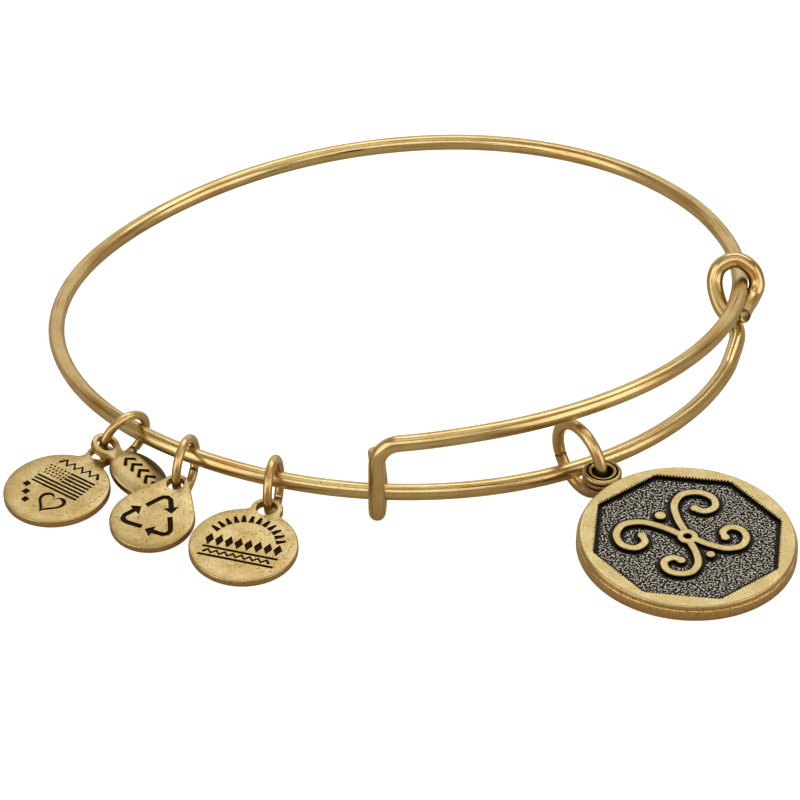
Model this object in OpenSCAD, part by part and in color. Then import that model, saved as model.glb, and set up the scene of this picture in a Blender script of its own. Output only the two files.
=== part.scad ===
// Charm bangle: a sprung wire bangle with a hook and an eye, five charms on four jump rings.
// It lies on a surface at z = 0. The origin is the middle of the wrist opening on that surface,
// +Y points to the back of the bangle and +X to the eye.

/* [Bangle wire] */
// Inside diameter of the bangle
inner_d = 60.5; // [52:0.5:72]
// Diameter of the sprung wire
wire_d = 1.45; // [1.2:0.05:1.7]
// Rise from the lower strand to the upper strand at the front
strand_rise = 6; // [5.6:0.1:7]
// Inside width of the hook
hook_inner_w = 2.2; // [1.9:0.05:2.5]
// Bend radius at the top of the hook, on the wire's centre line
hook_bend_r = 2.2; // [1.4:0.1:2.6]
// Length that the hook's tip stands up behind the lower strand
hook_tip = 3.1; // [1:0.1:4]
// Inside width of the closed eye
eye_inner_w = 2.35; // [2.2:0.05:3]

/* [Jump rings] */
// Inside diameter of the small jump rings
small_ring_inner_d = 4; // [3.8:0.05:4.6]
// Wire of the small jump rings
small_ring_wire_d = 0.8; // [0.6:0.05:0.9]
// Inside diameter of the medallion's jump ring
main_ring_inner_d = 5.35; // [5:0.05:6.4]
// Wire of the medallion's jump ring
main_ring_wire_d = 1.05; // [0.8:0.05:1.2]
// Opening at each ring's seam, in degrees
seam_angle = 3; // [1:0.5:8]

/* [Medallion] */
// Diameter of the medallion
medallion_d = 18.9; // [16:0.1:22]
// Thickness of the medallion
medallion_t = 1.5; // [1.3:0.05:2]
// Width of the flat rim between the edge and the sunk field's corners
medallion_rim_w = 1; // [0.6:0.05:2]
// Depth of the sunk field
field_depth = 0.35; // [0.25:0.05:0.7]
// Width of a stroke of the raised scrollwork
stroke_w = 0.65; // [0.5:0.05:1]
// Outside diameter of the tube bail
bail_d = 3.4; // [3:0.05:4]
// Hole of the tube bail
bail_hole_d = 1.8; // [1.7:0.05:2.4]
// Length of the tube bail
bail_h = 1.45; // [1:0.05:1.5]
// Tilt of the lying medallion, in degrees
medallion_tilt = 8.2; // [4:0.1:12]

/* [Heart disc] */
// Diameter of the heart disc
heart_disc_d = 9.3; // [8:0.1:11]
// Thickness of the heart disc
heart_disc_t = 0.75; // [0.6:0.05:1]
// Distance from the heart disc's edge to the middle of its lug
heart_lug_out = 1.15; // [0.3:0.05:1.2]
// Outside diameter of the heart disc's lug
heart_lug_d = 2.5; // [2.4:0.05:3]
// Tilt of the lying heart disc, in degrees
heart_tilt = 8.6; // [5:0.1:10]

/* [Oval tag] */
// Length of the oval tag without its lug
oval_l = 5.7; // [5:0.1:8]
// Width of the oval tag
oval_w = 4.6; // [3.4:0.1:5]
// Thickness of the oval tag in the middle of its dome
oval_t = 1; // [0.8:0.05:1.3]
// Distance from the oval's end to the middle of its lug
oval_lug_out = 1.3; // [1.2:0.05:2]
// Outside diameter of the oval tag's lug
oval_lug_d = 2.5; // [2.3:0.05:2.8]
// Hole through the oval tag's lug
oval_hole_d = 1.6; // [1.4:0.05:1.7]
// Thickness of the oval tag's lug
oval_lug_t = 0.7; // [0.6:0.05:0.9]

/* [Arrow drop] */
// Diameter of the drop's round end
drop_d = 7.4; // [6:0.1:8]
// Distance from the middle of the round end to the hole
drop_reach = 4.5; // [3.6:0.1:5]
// Diameter of the drop's rounded point
drop_point_d = 2.4; // [2.3:0.1:3.2]
// Hole through the drop's point
drop_hole_d = 1.5; // [1.4:0.05:1.7]
// Thickness of the drop
drop_t = 0.75; // [0.6:0.05:1]
// Tilt of the lying drop, in degrees
drop_tilt = 13.2; // [6:0.1:14]

/* [Border disc] */
// Diameter of the border disc
border_disc_d = 9.4; // [8:0.1:10]
// Thickness of the border disc
border_disc_t = 0.75; // [0.6:0.05:1]
// Distance from the border disc's edge to the middle of its lug
border_lug_out = 0.35; // [0.3:0.05:1.2]
// Outside diameter of the border disc's lug
border_lug_d = 2.8; // [2.4:0.05:3.2]
// Tilt of the lying border disc, in degrees
border_tilt = 9.7; // [6:0.1:14]

/* [Lugs] */
// Hole through a disc's lug
lug_hole_d = 1.8; // [1.7:0.05:1.9]

/* [Hidden] */

// Gap kept between pieces that rest on each other
clearance = 0.08;
// Height of the rings' lowest points above the surface
rest_gap = 0.05;
// Chamfer round the charms' edges
edge_c = 0.15;
// Sides of the swept wire
wire_sides = 14;
// Angle between the swept wire's sections
wire_step = 3.5;

ring_r = (inner_d + wire_d) / 2;
hook_r = (hook_inner_w + wire_d) / 2;
eye_r = (eye_inner_w + wire_d) / 2;
small_r = (small_ring_inner_d + small_ring_wire_d) / 2;
main_r = (main_ring_inner_d + main_ring_wire_d) / 2;
// Room under the hook, and how far the lower strand is lifted where the hook clasps it
hook_gap = 0.03;
front_lift = hook_r + hook_gap;
// Sideways lean of the hook's tip, as a share of its length
hook_lean = 0.1;

// Angles are counted clockwise from +X as seen from above, so the front is at 90 and the back at 270.
hook_at = 93.5;
eye_at = 364;

// The wire's run: angle, how far it stands out (share of hook_r), its height in two shares:
// of front_lift and of strand_rise.
AT = 0;
OUT = 1;
LIFT = 2;
RISE = 3;
RUN = [
    [20, 0, 1.24, 0], [26, 0, 1.13, 0], [33, 0, 1.04, 0], [48, 0, 0.96, 0], [70, 0, 0.92, 0],
    [hook_at, 0, 1, 0], [112, 0.32, 1.29, 0], [126, 0.48, 1.44, 0], [146, 0.28, 1.21, 0],
    [164, 0.07, 0.84, 0],
    [182, 0, 0.4, 0], [199, 0, 0.12, 0], [214, 0, 0, 0], [228, 0, 0.1, 0], [243, 0, 0.2, 0.07],
    [264, 0, 0.35, 0.21], [285, 0, 0.5, 0.34], [309, 0, 0.65, 0.445], [330, 0, 0.8, 0.48],
    [345, -0.06, 0.9, 0.5], [358, -0.25, 0.95, 0.63], [370, -0.2, 1, 0.8], [383, 0.02, 1, 0.93],
    [400, 0.17, 1, 1], [420, 0.27, 1, 1.02], [438, 0.62, 1, 1.02], [449, 1, 1, 1]
];

// The closed eye, from the lower strand's end round to the wire's tip, as shares of eye_r from the
// point where the upper strand runs through: outwards, back and up.
EYE = [
    [0.1, -2.63, -1.5], [-0.13, -1.75, -1.12], [-0.67, -1.08, -0.82], [-0.98, -0.5, -0.3],
    [-1.06, -0.05, 0.2], [-0.82, 0.26, 0.72], [-0.08, 0.42, 1.0], [0.64, 0.21, 0.68],
    [0.93, -0.1, 0.06], [0.76, -0.6, -0.38], [0.46, -1.5, -0.5], [0.3, -2.34, -0.48]
];
eye_in = 0.12; // share of eye_r that the strand passes outside the eye's middle

function unit(v) = v / norm(v);
function around(a) = [cos(a), -sin(a), 0];
function up(h) = [0, 0, h];

// Smooth value of one column of a table at an angle
function slope(t, i, col) =
    let (a = max(i - 1, 0), b = min(i + 1, len(t) - 1))
    (t[b][col] - t[a][col]) / (t[b][AT] - t[a][AT]);
function smooth(t, col, x) =
    let (i = max([for (k = [0 : len(t) - 2]) if (t[k][AT] <= x) k]),
         w = t[i + 1][AT] - t[i][AT],
         s = (x - t[i][AT]) / w)
    t[i][col] * (2 * s^3 - 3 * s^2 + 1) + slope(t, i, col) * w * (s^3 - 2 * s^2 + s)
    + t[i + 1][col] * (3 * s^2 - 2 * s^3) + slope(t, i + 1, col) * w * (s^3 - s^2);

// The strand's centre line at an angle of the run
function strand(a) =
    around(a) * (ring_r + smooth(RUN, OUT, a) * hook_r)
    + up(wire_d / 2 + smooth(RUN, LIFT, a) * front_lift + smooth(RUN, RISE, a) * strand_rise);

// Smooth line through chosen points, each stretch cut into n pieces
function through(p, n) = [
    for (i = [0 : len(p) - 2], k = [0 : n - 1])
        let (a = p[max(i - 1, 0)], b = p[i], c = p[i + 1], d = p[min(i + 2, len(p) - 1)], s = k / n)
        0.5 * (2 * b + (c - a) * s + (2 * a - 5 * b + 4 * c - d) * s^2 + (3 * b - a - 3 * c + d) * s^3)
];

// The eye's points in place
eye_middle = strand(eye_at) - eye_in * eye_r * around(eye_at);
function eye_point(e) =
    eye_middle + eye_r * (e[0] * around(eye_at) + e[1] * around(eye_at - 90) + e[2] * [0, 0, 1]);
eye_line = concat([for (e = [len(EYE) - 1 : -1 : 0]) eye_point(EYE[e])], [strand(RUN[0][AT])]);

// The hook: a bend from the upper strand down in front of the lower strand, then round under it
hook_out = around(hook_at);
hook_on = around(hook_at + 90);
hook_low = strand(hook_at);
hook_top = hook_low + hook_out * hook_r + up(strand(RUN[len(RUN) - 1][AT])[2] - hook_low[2]);
bend_steps = 7;
turn_steps = 12;
hook_line = concat(
    [for (k = [0 : bend_steps]) let (a = 90 * k / bend_steps)
        hook_top - hook_on * hook_bend_r * (1 - sin(a)) - up(hook_bend_r * (1 - cos(a)))],
    [for (k = [0 : turn_steps]) let (a = 180 * k / turn_steps)
        hook_low + hook_r * (hook_out * cos(a) - [0, 0, sin(a)])],
    [for (s = [0.5, 1]) hook_low - hook_out * hook_r + s * hook_tip * (hook_lean * hook_on + [0, 0, 1])]
);

run_first = RUN[0][AT];
run_last = RUN[len(RUN) - 1][AT];
wire_line = concat(
    through(eye_line, 4),
    [for (a = [run_first : wire_step : run_last]) strand(a)],
    hook_line
);

// Round section swept along a line, with a frame that doesn't twist and rounded ends
function tangent(p, i) = unit(p[min(i + 1, len(p) - 1)] - p[max(i - 1, 0)]);
function across(v, t) = unit(v - (v * t) * t);
module sweep(line, d, sides) {
    count = len(line);
    // the first and last sections are doubled and drawn in, which rounds the ends
    first = line[0] - tangent(line, 0) * 0.2 * d;
    last = line[count - 1] + tangent(line, count - 1) * 0.2 * d;
    p = concat([first], line, [last]);
    n = count + 2;
    t = [for (i = [0 : n - 1]) tangent(p, i)];
    side = [for (i = 0, u = across([0, 0.3, 1], t[0]); i < n;
                 u = across(u, t[min(i + 1, n - 1)]), i = i + 1) u];
    points = [for (i = [0 : n - 1], k = [0 : sides - 1])
        let (a = 360 * k / sides, r = (i == 0 || i == n - 1) ? 0.3 * d : 0.5 * d)
        p[i] + r * (cos(a) * side[i] + sin(a) * cross(t[i], side[i]))];
    walls = [for (i = [0 : n - 2], k = [0 : sides - 1])
        let (a = i * sides + k, b = i * sides + (k + 1) % sides)
        each [[a, a + sides, b], [b, a + sides, b + sides]]];
    caps = [[for (k = [0 : sides - 1]) k],
            [for (k = [sides - 1 : -1 : 0]) (n - 1) * sides + k]];
    polyhedron(points, concat(walls, caps), convexity = 10);
}

// Jump rings stand on edge round the lower strand. Each row: where on the strand, its turn from
// straight out, its sideways lean, and how far it is drawn out, as a share of its play.
LEFT = [137.1, -1, 13, 1];
MIDDLE = [124.8, 16, 0, 1];
RIGHT = [109.8, 8, -2, 0.85];
MAIN = [60.4, 5, -6, 0.33];

function ring_way(g) = around(g[0] - g[1]);
function ring_up(g) = up(cos(g[2])) + sin(g[2]) * cross([0, 0, 1], ring_way(g));
function ring_middle(g, r, w) =
    let (s = strand(g[0]),
         z = r * cos(g[2]) + w / 2 + rest_gap,
         play = sqrt((r - w / 2 - wire_d / 2 - clearance)^2 - (s[2] - z)^2))
    [s[0], s[1], z] + g[3] * play * ring_way(g);
// Point of a ring's centre line on the charm's side, at a height
function on_ring(g, r, w, z) =
    let (c = ring_middle(g, r, w), s = (z - c[2]) / (r * cos(g[2])))
    c + r * (sqrt(1 - s^2) * ring_way(g) + s * ring_up(g));

module jump_ring(g, r, w, seam_at) {
    translate(ring_middle(g, r, w))
        rotate([0, 0, g[1] - g[0]])
            rotate([90 - g[2], 0, 0])
                rotate([0, 0, seam_at + seam_angle / 2])
                    rotate_extrude(angle = 360 - seam_angle, $fn = 48)
                        translate([r, 0])
                            circle(d = w, $fn = 24);
}

// Where a charm's hole sits when it is drawn away from its ring
function drawn_away(g, r, w, z, way, hole_d) =
    on_ring(g, r, w, z) - ((hole_d - w) / 2 - 2.5 * clearance) * [cos(way), sin(way), 0];

// Charms lie on the surface. Each row: tilt, way down, way from the charm's middle to its hole.
function tipped(v, tilt, way) =
    let (x = v[0] * cos(tilt) + v[2] * sin(tilt), z = v[2] * cos(tilt) - v[0] * sin(tilt))
    [x * cos(way) - v[1] * sin(way), x * sin(way) + v[1] * cos(way), z];
function hole_from_middle(l, reach, t) =
    tipped([reach * cos(l[2] - l[1]), reach * sin(l[2] - l[1]), t / 2], l[0], l[1]);
function lying_height(edge_r, l) = edge_r * sin(l[0]) + rest_gap / 2;
// Middle of a charm's underside, from the height of its middle and the hole's place in plan
function lying_middle(hole, l, reach, t, z) =
    let (h = hole_from_middle(l, reach, t)) [hole[0] - h[0], hole[1] - h[1], z];

module lay(middle, l) {
    translate(middle)
        rotate([0, 0, l[1]])
            rotate([0, l[0], 0])
                rotate([0, 0, l[2] - l[1]])
                    children();
}

// Plate with a chamfered round edge
module plate(d, t) {
    rotate_extrude($fn = 72)
        polygon([[0, 0], [d / 2 - edge_c, 0], [d / 2, edge_c],
                 [d / 2, t - edge_c], [d / 2 - edge_c, t], [0, t]]);
}

module hole(x, d, t) {
    translate([x, 0, -t])
        cylinder(d = d, h = 3 * t, $fn = 32);
}

module lug_disc(d, t, lug_out, lug_d) {
    difference() {
        union() {
            plate(d, t);
            translate([d / 2 + lug_out, 0, 0])
                plate(lug_d, t);
        }
        hole(d / 2 + lug_out, lug_hole_d, t);
    }
}

// Heights of the holes' middles follow from how each charm lies
function hole_height(edge_r, l, reach, t) =
    lying_height(edge_r, l) + hole_from_middle(l, reach, t)[2];

MEDALLION_WAYS = [-74, 129.9];
HEART_WAYS = [-116, 50.7];
OVAL_WAYS = [-39, 141];
DROP_WAYS = [-106, 64.3];
BORDER_WAYS = [-92, 67.6];
// Room between the two lugs on the left ring
stack_gap = 0.45;
// How far the tube bail is sunk into the medallion's edge
bail_sink = 0.15;

medallion_lie = [medallion_tilt, MEDALLION_WAYS[0], MEDALLION_WAYS[1]];
medallion_edge = medallion_d / 2 - edge_c;
bail_reach = (medallion_d + bail_d) / 2 - bail_sink;
medallion_z = lying_height(medallion_edge, medallion_lie);
bail_z = hole_height(medallion_edge, medallion_lie, bail_reach, medallion_t);
medallion_at = lying_middle(
    drawn_away(MAIN, main_r, main_ring_wire_d, bail_z, 90, bail_hole_d),
    medallion_lie, bail_reach, medallion_t, medallion_z);

heart_lie = [heart_tilt, HEART_WAYS[0], HEART_WAYS[1]];
heart_edge = heart_disc_d / 2 - edge_c;
heart_reach = heart_disc_d / 2 + heart_lug_out;
heart_z = lying_height(heart_edge, heart_lie);
heart_hole_z = hole_height(heart_edge, heart_lie, heart_reach, heart_disc_t);
heart_at = lying_middle(
    drawn_away(LEFT, small_r, small_ring_wire_d, heart_hole_z, HEART_WAYS[1], lug_hole_d),
    heart_lie, heart_reach, heart_disc_t, heart_z);

oval_reach = oval_l / 2 + oval_lug_out;
oval_hole_z = heart_hole_z + (heart_disc_t + oval_lug_t) / 2 + stack_gap;
oval_tilt = asin((oval_hole_z - oval_lug_t / 2) / (oval_l / 2 + oval_reach));
oval_lie = [oval_tilt, OVAL_WAYS[0], OVAL_WAYS[1]];
oval_z = lying_height(oval_l / 2 - edge_c, oval_lie);
oval_at = lying_middle(
    drawn_away(LEFT, small_r, small_ring_wire_d, oval_hole_z, OVAL_WAYS[1], oval_hole_d),
    oval_lie, oval_reach, oval_lug_t, oval_z);

drop_lie = [drop_tilt, DROP_WAYS[0], DROP_WAYS[1]];
drop_z = lying_height(drop_d / 2, drop_lie);
drop_hole_z = hole_height(drop_d / 2, drop_lie, drop_reach, drop_t);
drop_at = lying_middle(
    drawn_away(MIDDLE, small_r, small_ring_wire_d, drop_hole_z, DROP_WAYS[1], drop_hole_d),
    drop_lie, drop_reach, drop_t, drop_z);

border_lie = [border_tilt, BORDER_WAYS[0], BORDER_WAYS[1]];
border_edge = border_disc_d / 2 - edge_c;
border_reach = border_disc_d / 2 + border_lug_out;
border_z = lying_height(border_edge, border_lie);
border_hole_z = hole_height(border_edge, border_lie, border_reach, border_disc_t);
border_at = lying_middle(
    drawn_away(RIGHT, small_r, small_ring_wire_d, border_hole_z, BORDER_WAYS[1], lug_hole_d),
    border_lie, border_reach, border_disc_t, border_z);

module bangle_wire() color("#b99a5b") sweep(wire_line, wire_d, wire_sides);

module main_jump_ring() color("#b3934f") jump_ring(MAIN, main_r, main_ring_wire_d, 198);
module left_jump_ring() color("#b3934f") jump_ring(LEFT, small_r, small_ring_wire_d, 232);
module middle_jump_ring() color("#b3934f") jump_ring(MIDDLE, small_r, small_ring_wire_d, 215);
module right_jump_ring() color("#b3934f") jump_ring(RIGHT, small_r, small_ring_wire_d, 235);

// One scroll of the raised ornament, as shares of scroll_r: across and up
scroll_r = 0.33 * medallion_d;
SCROLL = [
    [0.04, 0], [0.07, 0.17], [0.16, 0.4], [0.31, 0.62], [0.54, 0.72], [0.75, 0.62], [0.83, 0.42],
    [0.73, 0.25], [0.55, 0.26], [0.48, 0.4]
];
// Size of the lower scrolls beside the upper ones
lower_scroll = 0.82;
// Radius of the ring in the ornament's middle and of its eye, as shares of a stroke's width
ring_share = 1.4;
eye_share = 0.55;
// Buds: place as a share of scroll_r, radius as a share of a stroke's width
BUDS = [[0.56, 0.75], [-0.47, 0.6]];
// How far the strokes are sunk into the field's floor
stroke_sink = 0.1;

// Band of a width along a flat line, with round ends
module stroke(line, w, h) {
    n = len(line);
    side = [for (i = [0 : n - 1])
        let (t = unit(line[min(i + 1, n - 1)] - line[max(i - 1, 0)])) [-t[1], t[0]]];
    linear_extrude(h)
        polygon(concat(
            [for (i = [0 : n - 1]) line[i] + side[i] * w / 2],
            [for (i = [n - 1 : -1 : 0]) line[i] - side[i] * w / 2]));
    translate(line[n - 1])
        cylinder(d = 1.2 * w, h = h, $fn = 24);
}

module scrollwork(h) {
    upper = through([for (v = SCROLL) v * scroll_r], 4);
    stem = SCROLL[0][0] * scroll_r;
    lower = [for (v = upper) [stem + (v[0] - stem) * lower_scroll, -v[1] * lower_scroll]];
    difference() {
        union() {
            for (side = [0, 1])
                mirror([side, 0, 0]) {
                    stroke(upper, stroke_w, h);
                    stroke(lower, stroke_w, h);
                }
            // the ring that ties the scrolls together
            cylinder(r = ring_share * stroke_w, h = h, $fn = 36);
        }
        translate([0, 0, -1])
            cylinder(r = eye_share * stroke_w, h = h + 2, $fn = 24);
    }
    // a bud above it and a smaller one below
    for (bud = BUDS)
        translate([0, bud[0] * scroll_r, 0])
            cylinder(r = bud[1] * stroke_w, h = h, $fn = 24);
}

module medallion() color("#bb9c5e") lay(medallion_at, medallion_lie) {
    r = medallion_d / 2;
    t = medallion_t;
    floor_z = t - field_depth;
    field_r = r - medallion_rim_w;
    bail_low = (t - bail_h) / 2;
    groove = 0.15;
    difference() {
        rotate_extrude($fn = 96)
            polygon([[0, 0], [r - edge_c, 0], [r, edge_c], [r, 0.66 * t], [r - groove, 0.72 * t],
                     [r - groove, 0.86 * t], [r - groove - edge_c, t], [0, t]]);
        translate([0, 0, floor_z])
            rotate([0, 0, 22.5])
                cylinder(r = field_r, h = t, $fn = 8);
    }
    translate([0, 0, floor_z - stroke_sink])
        rotate([0, 0, -90])
            scrollwork(field_depth + stroke_sink);
    // the tube bail, grooved round its side
    translate([bail_reach, 0, bail_low])
        rotate_extrude($fn = 48)
            polygon([[bail_hole_d / 2, 0], [bail_d / 2, 0], [bail_d / 2, 0.3 * bail_h],
                     [bail_d / 2 - groove, 0.36 * bail_h], [bail_d / 2, 0.42 * bail_h],
                     [bail_d / 2, 0.64 * bail_h], [bail_d / 2 - groove, 0.7 * bail_h],
                     [bail_d / 2, 0.76 * bail_h], [bail_d / 2, 0.94 * bail_h],
                     [bail_d / 2 - groove, bail_h], [bail_hole_d / 2, bail_h]]);
}

module heart_disc() color("#b5965a") lay(heart_at, heart_lie)
    lug_disc(heart_disc_d, heart_disc_t, heart_lug_out, heart_lug_d);

module border_disc() color("#b5965a") lay(border_at, border_lie)
    lug_disc(border_disc_d, border_disc_t, border_lug_out, border_lug_d);

// Domed oval: rings of an ellipse, as shares of its width and height
oval_sides = 36;
DOME = [[0.94, 0], [1, 0.15], [1, 0.5], [0.93, 0.72], [0.78, 0.88], [0.5, 0.97], [0.2, 1]];
module oval_dome() {
    points = [for (l = DOME, k = [0 : oval_sides - 1]) let (a = 360 * k / oval_sides)
        [l[0] * oval_l / 2 * cos(a), l[0] * oval_w / 2 * sin(a), l[1] * oval_t]];
    walls = [for (i = [0 : len(DOME) - 2], k = [0 : oval_sides - 1])
        let (a = i * oval_sides + k, b = i * oval_sides + (k + 1) % oval_sides)
        each [[a, a + oval_sides, b], [b, a + oval_sides, b + oval_sides]]];
    caps = [[for (k = [0 : oval_sides - 1]) k],
            [for (k = [oval_sides - 1 : -1 : 0]) (len(DOME) - 1) * oval_sides + k]];
    polyhedron(points, concat(walls, caps));
}

module oval_tag() color("#c2a566") lay(oval_at, oval_lie)
    difference() {
        union() {
            oval_dome();
            translate([oval_reach, 0, 0])
                plate(oval_lug_d, oval_lug_t);
            // neck between the oval and its lug
            linear_extrude(oval_lug_t)
                polygon([[oval_l / 4, -oval_w / 3], [oval_reach, -0.4 * oval_lug_d],
                         [oval_reach, 0.4 * oval_lug_d], [oval_l / 4, oval_w / 3]]);
        }
        hole(oval_reach, oval_hole_d, oval_lug_t);
    }

// Teardrop outline: a large and a small circle joined by their common tangents
function drop_outline(r, reach, q) =
    let (a = acos((r - q) / reach))
    concat([for (k = [0 : 30]) let (b = a + (360 - 2 * a) * k / 30) r * [cos(b), sin(b)]],
           [for (k = [0 : 12]) let (b = -a + 2 * a * k / 12) [reach, 0] + q * [cos(b), sin(b)]]);

module arrow_drop() color("#b5965a") lay(drop_at, drop_lie)
    difference() {
        linear_extrude(drop_t)
            polygon(drop_outline(drop_d / 2, drop_reach, drop_point_d / 2));
        hole(drop_reach, drop_hole_d, drop_t);
    }

bangle_wire();
main_jump_ring();
medallion();
left_jump_ring();
heart_disc();
oval_tag();
middle_jump_ring();
arrow_drop();
right_jump_ring();
border_disc();
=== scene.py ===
"""Dresses the charm bangle: drawn brass wire, a cast medallion and small stamped charms.

Sizes repeat the part's named values, in millimetres. Each charm is built flat, with its hole on
the +X side, and then laid where its solid lies.
"""

import logging
import math
from collections.abc import Callable, Iterable, Sequence
from dataclasses import dataclass, field
from enum import Enum
from functools import partial
from typing import Any

import bmesh
import bpy
import numpy as np
from bpy.types import ID, Material, Mesh, Node, NodeSocket, NodeTree, Object
from mathutils import Matrix, Vector


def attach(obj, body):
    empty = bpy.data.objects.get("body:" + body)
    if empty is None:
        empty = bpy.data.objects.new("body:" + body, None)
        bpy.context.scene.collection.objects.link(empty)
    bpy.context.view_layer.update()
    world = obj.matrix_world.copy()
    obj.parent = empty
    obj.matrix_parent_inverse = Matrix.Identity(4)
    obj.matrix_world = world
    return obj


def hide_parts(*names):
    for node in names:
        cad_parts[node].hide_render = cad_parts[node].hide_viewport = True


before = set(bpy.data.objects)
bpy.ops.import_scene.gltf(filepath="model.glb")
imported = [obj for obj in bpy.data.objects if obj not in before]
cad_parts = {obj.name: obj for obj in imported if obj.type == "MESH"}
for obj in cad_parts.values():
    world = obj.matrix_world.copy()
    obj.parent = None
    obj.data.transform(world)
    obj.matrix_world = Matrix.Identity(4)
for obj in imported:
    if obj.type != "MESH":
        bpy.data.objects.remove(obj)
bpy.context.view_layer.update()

LOG = logging.getLogger("charm_bangle")
MM = 0.001
Point = tuple[float, float]
Outline = list[Point]
Solid = tuple[list[Vector], list[tuple[int, ...]]]
Adder = Callable[..., Node]


# Colour and node helpers


def linear(colour: str) -> tuple[float, float, float, float]:
    """Turns an sRGB hex colour into linear light.

    Args:
        colour: Colour such as "#C8A25A".

    Returns:
        Linear red, green and blue, and an alpha of 1.
    """
    parts = [int(colour[i : i + 2], 16) / 255 for i in (1, 3, 5)]
    red, green, blue = (c / 12.92 if c <= 0.04045 else ((c + 0.055) / 1.055) ** 2.4 for c in parts)
    return red, green, blue, 1.0


def add_node(
    tree: NodeTree,
    kind: str,
    sockets: dict[str | int, Any] | None = None,
    **settings: Any,
) -> Node:
    """Adds a node, with its values, its links and its settings.

    Args:
        tree: Tree that gets the node.
        kind: Blender's name of the node type.
        sockets: Inputs by name or number. A node or an output is linked, anything else is a value.
        **settings: Properties of the node.

    Returns:
        The new node.
    """
    node = tree.nodes.new(kind)
    for name, value in settings.items():
        setattr(node, name, value)
    for key, value in (sockets or {}).items():
        if isinstance(value, Node):
            value = value.outputs[0]
        if isinstance(value, NodeSocket):
            tree.links.new(value, node.inputs[key])
        else:
            node.inputs[key].default_value = value
    return node


# Finishes


class Slot(Enum):
    """Material slots of the record."""

    WIRE = "wire"
    RINGS = "rings"
    MEDALLION = "medallion"
    CHARMS = "charms"


def blank_material(name: str) -> tuple[Material, Adder]:
    """Makes a material with an empty node tree.

    Args:
        name: Name of the material.

    Returns:
        The material and what adds a node to it.
    """
    material = bpy.data.materials.new(name)
    material.use_nodes = True
    material.node_tree.nodes.clear()
    return material, partial(add_node, material.node_tree)


def finish_metal(add: Adder, colour: Any, roughness: Any, height: Any, depth: float) -> None:
    """Ends a metal's tree with its bump, its shader and the output.

    Args:
        add: Adds a node to the material.
        colour: Node, output or value of the base colour.
        roughness: Node, output or value of the roughness.
        height: Node or output of the surface's height, from 0 to 1.
        depth: Height of the relief in millimetres.
    """
    bump = add("ShaderNodeBump", {"Strength": 1.0, "Distance": depth * MM, "Height": height})
    shader = add(
        "ShaderNodeBsdfPrincipled",
        {"Base Color": colour, "Metallic": 1.0, "Roughness": roughness, "Normal": bump}
    )
    add("ShaderNodeOutputMaterial", {"Surface": shader})


@dataclass(frozen=True)
class DrawnBrass:
    """Brass wire, drawn through a die, then blackened and rubbed back.

    The die leaves hair lines along the wire. Tarnish stays in the deeper ones as long dark
    streaks, and the rubbed metal between them is yellow and bright.
    """

    name: str
    gold: str = "#D9C88F"
    warm: str = "#CFAF74"
    tarnish: str = "#2C1E0E"
    tarnish_from: float = 0.63
    roughness: float = 0.19

    def material(self) -> Material:
        """Builds the material, which reads where a point lies on the wire, in millimetres.

        Returns:
            The material.
        """
        material, add = blank_material(self.name)
        lie = add("ShaderNodeAttribute", attribute_name="lie").outputs["Vector"]
        along = add("ShaderNodeSeparateXYZ", {"Vector": lie}).outputs["X"]
        # dark lines about 8 mm long and 0.1 mm wide, the widest a die leaves, then hair lines
        # 0.07 mm wide, as fine as the render can show
        streak, hair = (
            add(
                "ShaderNodeTexNoise",
                {
                    "Vector": add("ShaderNodeMapping", {"Vector": lie, "Scale": stretch}),
                    "Scale": 1.0, "Detail": detail, "Roughness": rough
                }
            )
            for stretch, detail, rough in (((0.11, 8, 8), 2.0, 0.6), ((0.3, 14, 14), 1.0, 0.5))
        )
        # patches of warmer metal 4 mm across, and pits 0.12 mm across
        patch = add("ShaderNodeTexNoise", {"Vector": lie, "Scale": 0.25, "Detail": 2.0})
        pit = add("ShaderNodeTexNoise", {"Vector": lie, "Scale": 8.0, "Detail": 1.0})
        # warm patches and hair lines shade the gold a little
        tone = add("ShaderNodeMath", {0: hair, 1: 0.5, 2: patch}, operation="MULTIPLY_ADD")
        # the last range is the cut end, where the black stays, 0.3 mm up the wire
        dark, specks, warmth, end = (
            add(
                "ShaderNodeMapRange", {"Value": value, "From Min": low, "From Max": high},
                interpolation_type="SMOOTHSTEP"
            )
            for value, low, high in (
                (streak, self.tarnish_from, self.tarnish_from + 0.04), (pit, 0.66, 0.76),
                (tone, 0.6, 0.98), (along, 0.35, 0.12)
            )
        )
        # painted shade: the inner sides of the eye and the hook are darkened towards black
        crevice_shade = add("ShaderNodeAttribute", attribute_name="sheltered").outputs["Fac"]
        shade = dark
        for more in (specks, end, crevice_shade):
            shade = add("ShaderNodeMath", {0: shade, 1: more}, operation="MAXIMUM")
        share = add("ShaderNodeMath", {0: shade, 1: 0.85}, operation="MULTIPLY")
        colour = linear(self.gold)
        for amount, paint in ((warmth, self.warm), (share, self.tarnish)):
            colour = add(
                "ShaderNodeMix", {0: amount, 6: colour, 7: linear(paint)}, data_type="RGBA"
            ).outputs[2]
        rough = add(
            "ShaderNodeMath", {0: hair, 1: 0.1, 2: self.roughness}, operation="MULTIPLY_ADD"
        )
        height = add("ShaderNodeMath", {0: shade, 1: -0.8, 2: hair}, operation="MULTIPLY_ADD")
        finish_metal(add, colour, rough, height, 0.0025)
        return material


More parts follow.
